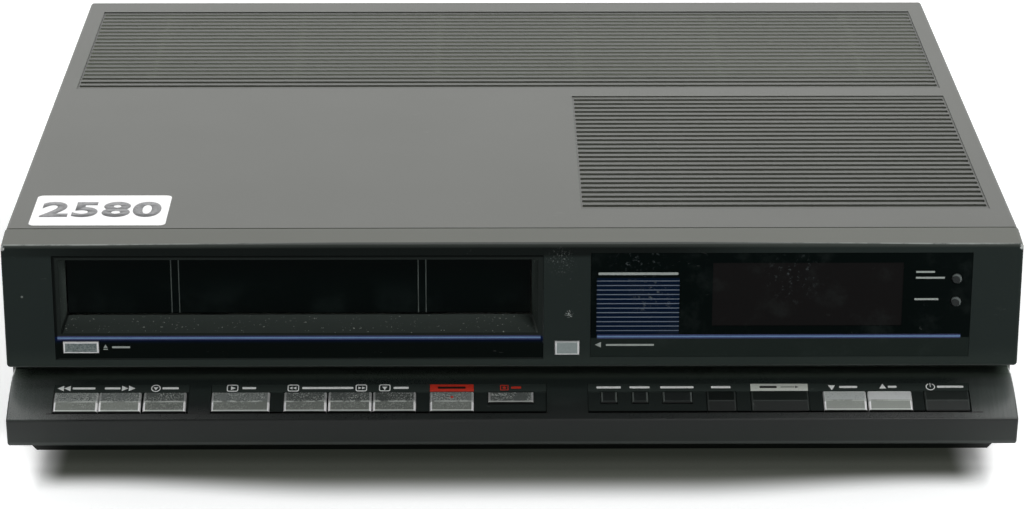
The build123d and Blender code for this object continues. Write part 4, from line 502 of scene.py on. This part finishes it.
def dark_key_plastic(name, colour, lit):
    """Dark satin key, with a faint painted highlight on its crease and painted highlights on its sides."""
    f = Finish(name)
    grain = f.noise(4200.0, 2.0, 0.6)
    patches = f.noise(180.0, 4.0, 0.6)
    low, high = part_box(name)
    end = key_end(name)
    up = f.up_keys()
    base = f.blend(patches, shifted(colour, -3), shifted(colour, 4))
    base = f.blend(grain * 0.2, base, shifted(colour, 22))
    # painted highlights: a faint one along the crease, and paler sides
    crease = f.rise(abs(up + 0.1 * MM), 0.5 * MM, 0.2 * MM)
    sides = rim(f, f.x, low.x, high.x, 0.9 * MM)
    base = f.blend((crease * 0.12).most(sides * lit), base, tone(120, 128, 124))
    base = f.blend(dust(f, 0.4) * 0.4, base, tone(150, 154, 150))
    # painted shade on the lower end of the key
    base = f.blend(f.rise(up, end, end - 0.2 * MM), base, tone(4, 7, 6))
    return f.done(Base_Color=base, Roughness=0.34 + patches * 0.1, Normal=f.bump(grain, 0.02 * MM, 0.6),
                  Specular_IOR_Level=0.3)


def button_lacquer(name, face, grey, worn):
    """Lacquered button, worn through in patches, with painted highlights along its edges."""
    f = Finish(name)
    mottle = f.noise(1100.0, 4.0, 0.75)
    left, right, low, high = (place * MM for place in face)
    lacquer = tone(grey, grey + 10, grey + 9)
    bared = tone(grey // 3, grey // 2, grey // 2)
    base = f.blend(f.rise(mottle, 0.4, 0.6) * worn, lacquer, bared)
    # painted highlights along the sides and the lower edge, and along the top, stronger on a worn button
    under_top = f.rise(f.z, high - 0.7 * MM, high - 0.3 * MM)
    edge = rim(f, f.x, left, right, 0.9 * MM).most(f.rise(f.z, low + 0.8 * MM, low + 0.5 * MM))
    edge = edge.most(under_top * (0.3 + worn))
    base = f.blend(edge * 0.8, base, WHITE)
    return f.done(Base_Color=base, Metallic=0.2, Roughness=0.36 + mottle * 0.12)


def board_finish(name, top, colour, parts):
    """Printed board: lacquered face with tracks, and the pieces that stand higher than its top."""
    f = Finish(name)
    tracks = f.node("TexBrick", {"offset": 0.35},
                    {"Vector": f.at, "Scale": 90.0, "Mortar Size": 0.07, "Brick Width": 0.7,
                     "Row Height": 0.22}, "Fac")
    blotches = f.noise(70.0, 3.0, 0.6)
    face = f.blend(tracks * 0.45, tone(*colour), shifted(colour, 60))
    piece = f.blend(f.rise(blotches, 0.3, 0.7), tone(*parts), shifted(parts, 20))
    raised = f.rise(f.z, top, top + 0.2 * MM)
    return f.done(Base_Color=f.blend(raised, face, piece), Roughness=0.4 + blotches * 0.2)


def rubber(name, colour):
    """Moulded rubber with a dull bloom."""
    f = Finish(name)
    bloom = f.noise(180.0, 4.0, 0.6)
    base = f.blend(bloom, tone(*colour), shifted(colour, 22))
    return f.done(Base_Color=base, Roughness=0.72 + bloom * 0.15, Normal=f.bump(bloom, 0.05 * MM, 0.5))


def printed(name, colour, worn=0.25):
    """Screen-printed ink, a little worn."""
    f = Finish(name)
    patchy = f.rise(f.noise(900.0, 3.0, 0.7), 0.5, 0.68)
    base = f.blend(patchy * worn, tone(*colour), tone(*[part * 0.6 for part in colour]))
    return f.done(Base_Color=base, Roughness=0.45 + patchy * 0.15)


# ---------------------------------------------------------------- materials of the CAD nodes
BOARD_TOP = 23.6 * MM               # upper face of the main and the power board
BOARD_BROWN, CHIP_BLACK = (112, 84, 44), (26, 27, 28)
ALONG_X, ALONG_Y, ACROSS_Z = (0.06, 1.0, 1.0), (1.0, 0.3, 1.0), (1.0, 1.0, 12.0)
DRUM_RINGS = 0.5 * MM

cover_paint = painted_cover("cover_paint", COVER)
bezel_moulding = moulded("bezel_moulding", MOULDING, 0.4, 0.3, 0.06, bezel_marks)
ledge_moulding = moulded("ledge_moulding", LEDGE, 0.22, 0.3, 0.55, ledge_marks, 0.4)
surround_moulding = moulded("surround_moulding", SURROUND, 0.3, 0.3, 0.03, surround_marks)
black_moulding = moulded("black_moulding", (20, 23, 21), 0.4, 0.25, 0.3)
pan_coat = moulded("pan_coat", (6, 10, 8), 0.5, 0.25, 0.12)
key_plate_moulding = moulded("key_plate_moulding", (26, 32, 30), 0.34, 0.3, 0.15, plate_marks)
gloss_panel = polished_black("gloss_panel", BLACK, 0.7, 0.02, panel_marks)
door_plastic = polished_black("door_plastic", BLACK, 0.35, 0.02, door_marks)
round_plastic = polished_black("round_plastic", (22, 28, 28), 0.3, 0.15, round_highlights)
eject_lacquer = button_lacquer("eject_button", EJECT, 112, 0.7)
tracking_lacquer = button_lacquer("tracking_button", TRACKING, 138, 0.1)
sheet_steel = metal("sheet_steel", (176, 174, 166), 0.34, ALONG_X)
deck_metal = metal("deck_metal", (166, 168, 170), 0.42, ALONG_Y, 400.0)
drum_metal = turned_metal("drum_metal", (208, 209, 212), middle_of_node("head_drum"), DRUM_RINGS)
screw_metal = metal("screw_metal", (88, 88, 88), 0.35)
nickel = metal("nickel", (196, 194, 188), 0.22)
core_steel = metal("core_steel", (74, 66, 58), 0.5, ACROSS_Z, 300.0)
foot_rubber = rubber("foot_rubber", (22, 22, 22))
roller_rubber = rubber("roller_rubber", (30, 28, 27))
white_acetal = moulded("white_acetal", (206, 204, 194), 0.4, 0.1)
socket_plastic = moulded("socket_plastic", (26, 27, 27), 0.38, 0.15)
tube_glass = polished_black("tube_glass", (20, 26, 25), 0.1)
main_board_finish = board_finish("main_board_finish", BOARD_TOP, BOARD_BROWN, CHIP_BLACK)
plain_board = moulded("plain_board", (104, 78, 42), 0.45, 0.1)

FINISHES = {
    cover_paint: ("top_cover",),
    bezel_moulding: ("front_bezel",),
    ledge_moulding: ("control_ledge",),
    surround_moulding: ("cassette_surround",),
    pan_coat: ("base_tray",),
    black_moulding: ("rear_panel", "loading_motor"),
    key_plate_moulding: ("left_key_plate", "right_key_plate"),
    gloss_panel: ("display_panel",),
    door_plastic: ("cassette_door",),
    eject_lacquer: ("eject_button",),
    tracking_lacquer: ("tracking_button",),
    round_plastic: ("clock_counter_button", "dimmer_button"),
    sheet_steel: ("lift_frame", "carriage_runner", "cassette_basket", "tuner_box", "pinch_arm",
                  "tape_posts", "tape_heads", "capstan"),
    deck_metal: ("deck_plate",),
    drum_metal: ("lower_drum", "head_drum"),
    screw_metal: ("cover_screws",),
    nickel: ("aerial_sockets",),
    foot_rubber: ("feet",),
    roller_rubber: ("pinch_roller",),
    white_acetal: ("supply_reel", "takeup_reel", "carriage_gear"),
    socket_plastic: ("av_socket", "mains_inlet"),
    core_steel: ("transformer",),
    tube_glass: ("display_tube",),
    main_board_finish: ("main_board", "power_board"),
    plain_board: ("key_board", "display_board", "front_switch_boards", "capstan_motor"),
}
# lacquered keys: brightness of the upper and the lower facet, partly painted light, and how much fingers have
# marked them
LACQUERED_KEYS = {
    "rewind_key": (160, 112), "wind_key": (132, 120), "stop_key": (90, 92), "play_key": (138, 102),
    "search_back_key": (80, 98), "search_forward_key": (78, 100), "still_key": (62, 90),
    "record_key": (134, 110), "one_touch_record_key": (76, 76), "down_key": (222, 144, 0.3),
    "up_key": (255, 148, 0.1),
}
# dark keys: colour, and how strong the painted highlights on their sides are
DARK_KEYS = {
    "channel_search_key": ((20, 25, 24), 0.5), "store_key": ((20, 25, 24), 0.5),
    "clock_set_key": ((20, 25, 24), 0.5), "reset_key": ((12, 17, 15), 0.15),
    "timer_key": ((22, 27, 25), 0.15), "standby_key": ((32, 37, 35), 0.15),
}
for key, look in LACQUERED_KEYS.items():
    FINISHES[key_lacquer(key, *look)] = (key,)
for key, look in DARK_KEYS.items():
    FINISHES[dark_key_plastic(key, *look)] = (key,)
for material, names in FINISHES.items():
    for name in names:
        nodes[name].data.materials.clear()
        nodes[name].data.materials.append(material)


# ---------------------------------------------------------------- modelling
UP, LEFT, DOWN, RIGHT = 0, 90, 180, 270


def deselect():
    bpy.ops.object.select_all(action="DESELECT")


def settle():
    """Puts the selected object's place, turn and size into its mesh."""
    bpy.ops.object.transform_apply(location=True, rotation=True, scale=True)


def bar(left, right, low, high, corner=0.0):
    """Flat bar in the drawing plane, with rounded corners."""
    deselect()
    bpy.ops.mesh.primitive_plane_add(size=1, location=((left + right) / 2, (low + high) / 2, 0))
    made = bpy.context.object
    made.scale = (right - left, high - low, 1)
    settle()
    if corner:
        bpy.ops.object.mode_set(mode="EDIT")
        bpy.ops.mesh.select_all(action="SELECT")
        bpy.ops.mesh.bevel(offset=corner, segments=4, affect="VERTICES")
        bpy.ops.object.mode_set(mode="OBJECT")
    return made


def hollow(made, width):
    """Turns a flat figure into its outline, this wide."""
    bpy.ops.object.mode_set(mode="EDIT")
    bpy.ops.mesh.select_all(action="SELECT")
    bpy.ops.mesh.inset(thickness=width, depth=0)
    bpy.ops.mesh.delete(type="FACE")
    bpy.ops.object.mode_set(mode="OBJECT")
    return made


def disc(x, y, radius, sides=24, turn=0.0):
    """Flat disc, or a regular figure with few sides, its first corner turned from straight up."""
    deselect()
    bpy.ops.mesh.primitive_circle_add(vertices=sides, radius=radius, fill_type="NGON", location=(x, y, 0),
                                      rotation=(0, 0, radians(turn)))
    made = bpy.context.object
    settle()
    return made


def arrowhead(x, y, size, way, length=1.0):
    """Triangle that points up, left, down or right; length stretches it along its point."""
    made = disc(x, y, size, 3, way)
    made.scale = (length, 1, 1) if way in (LEFT, RIGHT) else (1, length, 1)
    made.location = (x - x * made.scale[0], y - y * made.scale[1], 0)
    settle()
    return made


def arc(x, y, radius, width, start, sweep):
    """Flat ring segment, swept from a short edge."""
    deselect()
    bpy.ops.mesh.primitive_plane_add(size=1, location=(radius, 0, 0))
    made = bpy.context.object
    made.scale = (width, width / 8, 1)
    settle()
    bpy.ops.object.mode_set(mode="EDIT")
    bpy.ops.mesh.select_all(action="SELECT")
    bpy.ops.mesh.delete(type="ONLY_FACE")
    bpy.ops.mesh.select_all(action="DESELECT")
    bpy.ops.object.mode_set(mode="OBJECT")
    for corner in made.data.vertices:
        corner.select = corner.co.y > 0
    bpy.ops.object.mode_set(mode="EDIT")
    bpy.ops.mesh.spin(steps=20, angle=radians(sweep), center=(0, 0, 0), axis=(0, 0, 1))
    bpy.ops.mesh.select_all(action="SELECT")
    bpy.ops.mesh.remove_doubles(threshold=width / 100)
    bpy.ops.object.mode_set(mode="OBJECT")
    made.rotation_euler = (0, 0, radians(start))
    made.location = (x, y, 0)
    settle()
    return made


def on_piece(marks, name, plane, material, thickness=0.04 * MM, body="root"):
    """Joins flat marks, lays them on a plane of the object and gives them a thickness outwards."""
    deselect()
    for mark in marks:
        mark.select_set(True)
    bpy.context.view_layer.objects.active = marks[0]
    if len(marks) > 1:
        bpy.ops.object.join()
    made = bpy.context.object
    made.name = made.data.name = name
    bpy.ops.object.mode_set(mode="EDIT")
    bpy.ops.mesh.select_all(action="SELECT")
    bpy.ops.mesh.normals_make_consistent(inside=False)
    bpy.ops.object.mode_set(mode="OBJECT")
    upward = sum(face.normal.z * face.area for face in made.data.polygons)
    if upward < 0:
        bpy.ops.object.mode_set(mode="EDIT")
        bpy.ops.mesh.flip_normals()
        bpy.ops.object.mode_set(mode="OBJECT")
    thick = made.modifiers.new("thickness", "SOLIDIFY")
    thick.thickness = thickness
    thick.offset = 1.0
    bpy.ops.object.modifier_apply(modifier=thick.name)
    made.matrix_world = plane
    settle()
    made.data.materials.clear()
    made.data.materials.append(material)
    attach(made, body)
    return made


# ---------------------------------------------------------------- planes to draw on
def raised(plane, height):
    """A plane moved outwards."""
    return plane @ Matrix.Translation((0, 0, height))


LIFT = 0.02 * MM            # a print lies this far off its surface
front = Matrix.Translation((0, FACE - LIFT, 0)) @ Matrix.Rotation(pi / 2, 4, "X")
slope = Matrix.Translation(KEY_ROW) @ Matrix.Rotation(KEY_SLOPE, 4, "X")
strip = raised(slope, LIFT)
top = Matrix.Translation((0, 0, COVER_TOP + LIFT))

# ---------------------------------------------------------------- inks
white_ink = printed("white_ink", (252, 255, 253))
grey_ink = printed("grey_ink", (164, 171, 167))
red_ink = printed("red_ink", (206, 52, 32))
black_ink = printed("black_ink", (16, 16, 15))
blue_ink = printed("blue_ink", (96, 130, 174), 0.1)
navy_ink = printed("navy_ink", (8, 30, 84), 0.1)
pale_plate = printed("pale_plate", (212, 217, 208), 0.12)
sensor_blue = printed("sensor_blue", (98, 110, 128), 0.15)

# ---------------------------------------------------------------- legends of the keys, in millimetres
LEGEND = 7.9                # middle of the legends, up the slope
STROKE = 0.42               # width of a drawn line
WIND_ARROW, FRAMED_ARROW, SEARCH_ARROW, CHANNEL_ARROW, RING_ARROW = 1.72, 1.2, 0.88, 1.65, 1.15
RING, POWER = -149.0, 175.0     # places of two round signs
PLATE_EDGES = (5.75 * MM, 9.75 * MM)    # lower and upper edge of a coloured plate, in metres


def word(left, right, middle, height=1.15):
    """Plain bar where a word stands on the real one, in millimetres."""
    height = height * MM
    return bar(left * MM, right * MM, middle * MM - height / 2, middle * MM + height / 2, height * 0.3)


def arrow(x, size, way, length=1.1):
    """Arrowhead in the row of legends."""
    return arrowhead(x * MM, LEGEND * MM, size * MM, way, length)


def icon_frame(x):
    """Rounded frame round an arrow in the row of legends."""
    frame_bar = bar((x - 2.4) * MM, (x + 2.4) * MM, (LEGEND - 1.9) * MM, (LEGEND + 1.9) * MM, 0.9 * MM)
    return hollow(frame_bar, STROKE * MM)


def middle_of(key):
    """Where the middle of a key lies across, in millimetres."""
    low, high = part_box(key)
    return (low.x + high.x) / 2 / MM


legends = []
for x, way in ((-188.3, LEFT), (-185.5, LEFT), (-162.3, RIGHT), (-159.4, RIGHT)):
    legends.append(arrow(x, WIND_ARROW, way, 1.05))
for left, right in ((-183.8, -174.3), (-170.3, -163.8), (-146.3, -139.5), (-112.9, -107.2), (-87.9, -66.5),
                    (-49.7, -43.4)):
    legends.append(word(left, right, LEGEND))
legends.append(hollow(disc(RING * MM, LEGEND * MM, 2.0 * MM), STROKE * MM))
legends.append(arrow(RING, RING_ARROW, DOWN, 1.0))
for x, way in ((-117.0, RIGHT), (-53.4, DOWN)):
    legends.append(icon_frame(x))
    legends.append(arrow(x, FRAMED_ARROW, way))
for x, way in ((-91.6, LEFT), (-63.2, RIGHT)):
    legends.append(icon_frame(x))
    for step in (-0.8, 0.8):
        legends.append(arrow(x + step, SEARCH_ARROW, way, 1.05))
for key, half in (("channel_search_key", 5.1), ("store_key", 4.2), ("clock_set_key", 7.0),
                  ("reset_key", 4.1)):
    legends.append(word(middle_of(key) - half, middle_of(key) + half, LEGEND))
legends.append(arrow(133.6, CHANNEL_ARROW, DOWN))
legends.append(word(136.8, 144.4, LEGEND))
legends.append(arrow(155.0, CHANNEL_ARROW, UP))
legends.append(word(157.2, 160.8, LEGEND))
legends.append(arc(POWER * MM, LEGEND * MM, 1.75 * MM, STROKE * MM, 65, 310))
legends.append(bar((POWER - 0.18) * MM, (POWER + 0.18) * MM, (LEGEND - 0.2) * MM, (LEGEND + 2.1) * MM))
legends.append(word(177.8, 188.8, LEGEND))
on_piece(legends, "key_legends", strip, white_ink)

record_left, record_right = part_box("record_key")[0].x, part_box("record_key")[1].x
on_piece([bar(record_left, record_right, *PLATE_EDGES)], "record_plate", strip, red_ink)
above_plate = raised(strip, 0.05 * MM)
on_piece([word(-31.2, -19.6, LEGEND)], "record_word", above_plate, black_ink)

one_touch = middle_of("one_touch_record_key")
one_touch_frame = bar((one_touch - 4.4) * MM, (one_touch - 0.9) * MM, 6.4 * MM, 9.4 * MM, 0.3 * MM)
one_touch_marks = [hollow(one_touch_frame, 0.4 * MM), disc((one_touch - 2.65) * MM, LEGEND * MM, 0.7 * MM),
                   word(one_touch + 0.2, one_touch + 4.4, LEGEND)]
on_piece(one_touch_marks, "one_touch_mark", strip, red_ink)

timer_left, timer_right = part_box("timer_key")[0].x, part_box("timer_key")[1].x
on_piece([bar(timer_left, timer_right, *PLATE_EDGES)], "timer_plate", strip, pale_plate)
timer_marks = [word(103.4, 110.6, LEGEND), word(112.2, 118.0, LEGEND, 0.35), arrow(118.8, 0.7, RIGHT, 1.4)]
on_piece(timer_marks, "timer_word", above_plate, black_ink)

# ---------------------------------------------------------------- dot on the record key's upper facet
FACET_FALL = 5.3            # degrees between the upper facet and the strip
CREASE = 0.6 * MM           # the crease stands this far above the strip
facet = raised(raised(slope, CREASE) @ Matrix.Rotation(radians(-FACET_FALL), 4, "X"), LIFT)
on_piece([disc(-25.3 * MM, 2.3 * MM, 0.65 * MM)], "record_dot", facet, red_ink,
         body="record_key")

# ---------------------------------------------------------------- blue lines, front legends, sensor lines
LINE_HALF, BORDER_HALF = 0.32, 0.9      # half heights of a blue line and of its dark border
blue_bars, navy_bars = [], []
for left, right, level in ((-188.9, 11.6, 55.1), (35.1, 186.2, 55.35)):
    for half, bars in ((LINE_HALF, blue_bars), (BORDER_HALF, navy_bars)):
        bars.append(bar(left * MM, right * MM, (level - half) * MM, (level + half) * MM))
on_piece(navy_bars, "line_borders", front, navy_ink, 0.02 * MM)
on_piece(blue_bars, "blue_lines", raised(front, 0.03 * MM), blue_ink)

front_legends = [
    arrowhead(-169.1 * MM, 51.2 * MM, 0.95 * MM, UP),
    bar(-170.0 * MM, -168.2 * MM, 49.9 * MM, 50.3 * MM),
    word(-166.4, -158.9, 51.0, 0.8),
    arrowhead(35.9 * MM, 51.7 * MM, 1.4 * MM, LEFT, 1.2),
    word(38.8, 58.8, 51.6, 0.8),
    word(35.4, 68.4, 83.3, 1.1),
    word(166.6, 174.4, 83.9, 0.8),
    word(166.6, 178.6, 81.3, 0.8),
    word(166.4, 176.3, 71.8, 0.8),
]
on_piece(front_legends, "front_legends", front, grey_ink)

LINES = 12
LINE_HEIGHT = 0.38
window_floor = raised(front, -0.3 * MM)
pitch = (SENSOR_LEVELS[1] - SENSOR_LEVELS[0]) / (LINES - 1)
sensor_bars = []
for count in range(LINES):
    level = SENSOR_LEVELS[0] + count * pitch
    sensor_bars.append(bar(SENSOR[0] * MM, SENSOR[1] * MM, level * MM, (level + LINE_HEIGHT) * MM))
on_piece(sensor_bars, "sensor_lines", window_floor, sensor_blue)

# ---------------------------------------------------------------- inventory sticker on the cover
STICKER_LEFT, STICKER_RIGHT = -202.2 * MM, -145.0 * MM
STICKER_FRONT, STICKER_BACK = FACE + 24.0 * MM, FACE + 61.0 * MM
STICKER_THICK = 0.1 * MM
DIGIT_SIZE, DIGIT_SWELL, DIGIT_SPACE, DIGIT_STRETCH = 21 * MM, 0.8 * MM, 1.12, (1.1, 1.15, 1)
sticker_paper = printed("sticker_paper", (254, 254, 254), 0.03)
sticker_ink = printed("sticker_ink", (126, 127, 128), 0.4)
sticker = bar(STICKER_LEFT, STICKER_RIGHT, STICKER_FRONT, STICKER_BACK, 2.5 * MM)
on_piece([sticker], "sticker", top, sticker_paper, STICKER_THICK)
deselect()
bpy.ops.object.text_add()
digits = bpy.context.object
digits.data.body = "2580"
digits.data.size = DIGIT_SIZE
digits.data.offset = DIGIT_SWELL
digits.data.space_character = DIGIT_SPACE
digits.data.align_x = "CENTER"
digits.data.align_y = "CENTER"
bpy.ops.object.convert(target="MESH")
digits = bpy.context.object
digits.scale = DIGIT_STRETCH
digits.location = ((STICKER_LEFT + STICKER_RIGHT) / 2, (STICKER_FRONT + STICKER_BACK) / 2, 0)
settle()
on_piece([digits], "sticker_digits", raised(top, STICKER_THICK + 0.01 * MM), sticker_ink)

# ---------------------------------------------------------------- floor
FLOOR_SIZE = 12.0
PAPER, SHADED_PAPER = (0.93, 0.945, 0.945, 1), (0.1, 0.105, 0.09, 1)
PAPER_GLOW, SHADED_GLOW = (0.36, 0.36, 0.36, 1), (0.02, 0.0225, 0.018, 1)
# where the shade under the machine ends, from its sides, its rear and its front: fully shaded, fully lit
SHADE_LEFT = (-25 * MM, -7 * MM)
SHADE_RIGHT = (-28 * MM, -7 * MM)
SHADE_REAR = (-30 * MM, -10 * MM)
SHADE_FRONT = (17 * MM, 47 * MM)
DRAWN_IN = (5 * MM, 13 * MM)            # towards its two ends the front shade is shorter by this
SHADE_ENDS = (70 * MM, 175 * MM)        # from the middle to the ends
FLANK = (-12 * MM, 55 * MM)             # the brightly lit floor beside the front, from the sides outwards
FAR_FLOOR = (0.75, 1.6)                 # the floor turns into a white backdrop between these distances

bpy.ops.mesh.primitive_plane_add(size=FLOOR_SIZE, location=(0, 0, 0))
floor = bpy.context.object
floor.name = "floor"
paper = Finish("floor_paper")
front_gap = FACE - paper.y
beside = paper.rise(-1 * paper.x - HALF_WIDTH, *SHADE_LEFT) + paper.rise(paper.x - HALF_WIDTH, *SHADE_RIGHT)
behind = paper.rise(paper.y, REAR + SHADE_REAR[0], REAR + SHADE_REAR[1])
ends = paper.rise(abs(paper.x), *SHADE_ENDS)
before = paper.rise(front_gap, SHADE_FRONT[0] - ends * DRAWN_IN[0], SHADE_FRONT[1] - ends * DRAWN_IN[1])
outside = 1.0 - (1.0 - beside) * (1.0 - before) * (1.0 - behind)
paper_colour = paper.blend(outside, SHADED_PAPER, PAPER)
paper_colour = paper.blend(paper.noise(900.0, 2.0) * 0.04, paper_colour, (0.7, 0.7, 0.7, 1))

# what the camera and mirroring faces see of it is whiter: most of all far out, and beside the front
glow = paper.blend(outside, SHADED_GLOW, PAPER_GLOW)
flank = paper.between(abs(paper.x) - HALF_WIDTH, *FLANK, 5 * MM)
flank = flank * paper.rise(front_gap, -40 * MM, 0.0)
far = paper.rise(paper.distance((0, 0, 0)), *FAR_FLOOR)
glow = paper.blend((flank * 0.6).most(far), glow, WHITE)
to_camera = paper.node("LightPath", {}, {}, "Is Camera Ray")
mirrored = paper.node("LightPath", {}, {}, "Is Glossy Ray")
seen = 1.0 - (1.0 - to_camera) * (1.0 - mirrored)
floor.data.materials.append(paper.done(
    Base_Color=paper_colour, Roughness=0.95, Specular_IOR_Level=0.1,
    Emission_Color=paper.blend(seen, (0, 0, 0, 1), glow), Emission_Strength=1.0))


# ---------------------------------------------------------------- light
def softbox(name, place, size, power, aim=(0, 0, 0.05)):
    """Large rectangular lamp that faces a point; the camera doesn't see it."""
    lamp = bpy.data.lights.new(name, "AREA")
    lamp.shape = "RECTANGLE"
    lamp.size, lamp.size_y = size
    lamp.energy = power
    made = bpy.data.objects.new(name, lamp)
    bpy.context.collection.objects.link(made)
    made.location = place
    made.rotation_euler = (Vector(aim) - Vector(place)).to_track_quat("-Z", "Y").to_euler()
    made.visible_camera = False


for x in (-0.86, 0.86):
    softbox("overhead_softbox", (x, 0.25, 1.3), (1.1, 1.4), 11.5, (x, 0.25, 0))
softbox("rear_sweep", (0.0, 2.6, 1.1), (5.0, 2.6), 66)
softbox("front_fill", (0.9, -1.5, 1.4), (1.0, 1.0), 14)

WORLD_LIGHT, WORLD_SEEN = 0.08, 1.0     # strength of the white world as light and as a backdrop
world = bpy.data.worlds.new("studio")
bpy.context.scene.world = world
world.use_nodes = True
tree = world.node_tree
background = tree.nodes["Background"]
path = tree.nodes.new("ShaderNodeLightPath")
strength = tree.nodes.new("ShaderNodeMapRange")
strength.inputs["To Min"].default_value = WORLD_LIGHT
strength.inputs["To Max"].default_value = WORLD_SEEN
tree.links.new(path.outputs["Is Camera Ray"], strength.inputs["Value"])
tree.links.new(strength.outputs["Result"], background.inputs["Strength"])
background.inputs["Color"].default_value = WHITE

# ---------------------------------------------------------------- camera
CAMERA_PLACE = (-12.35 * MM, FACE - 1298.90 * MM, 582.43 * MM)
CAMERA_DOWN = 0.36110       # pitch below level, radians
CAMERA_YAW = 0.00928
CAMERA_ROLL = 0.00157
PHOTO_WIDTH = 1024          # pixels
FOCAL_PIXELS = 3373.283     # focal length in pixels of the photograph
FILM_WIDTH = 36.0

camera_data = bpy.data.cameras.new("camera")
camera_data.sensor_width = FILM_WIDTH
camera_data.sensor_fit = "HORIZONTAL"
camera_data.lens = FOCAL_PIXELS / PHOTO_WIDTH * FILM_WIDTH
camera = bpy.data.objects.new("camera", camera_data)
bpy.context.collection.objects.link(camera)
aimed = Matrix.Rotation(-CAMERA_YAW, 4, "Z") @ Matrix.Rotation(pi / 2 - CAMERA_DOWN, 4, "X")
camera.matrix_world = Matrix.Translation(CAMERA_PLACE) @ aimed @ Matrix.Rotation(CAMERA_ROLL, 4, "Z")
bpy.context.scene.camera = camera
bpy.context.scene.view_settings.view_transform = "Standard"
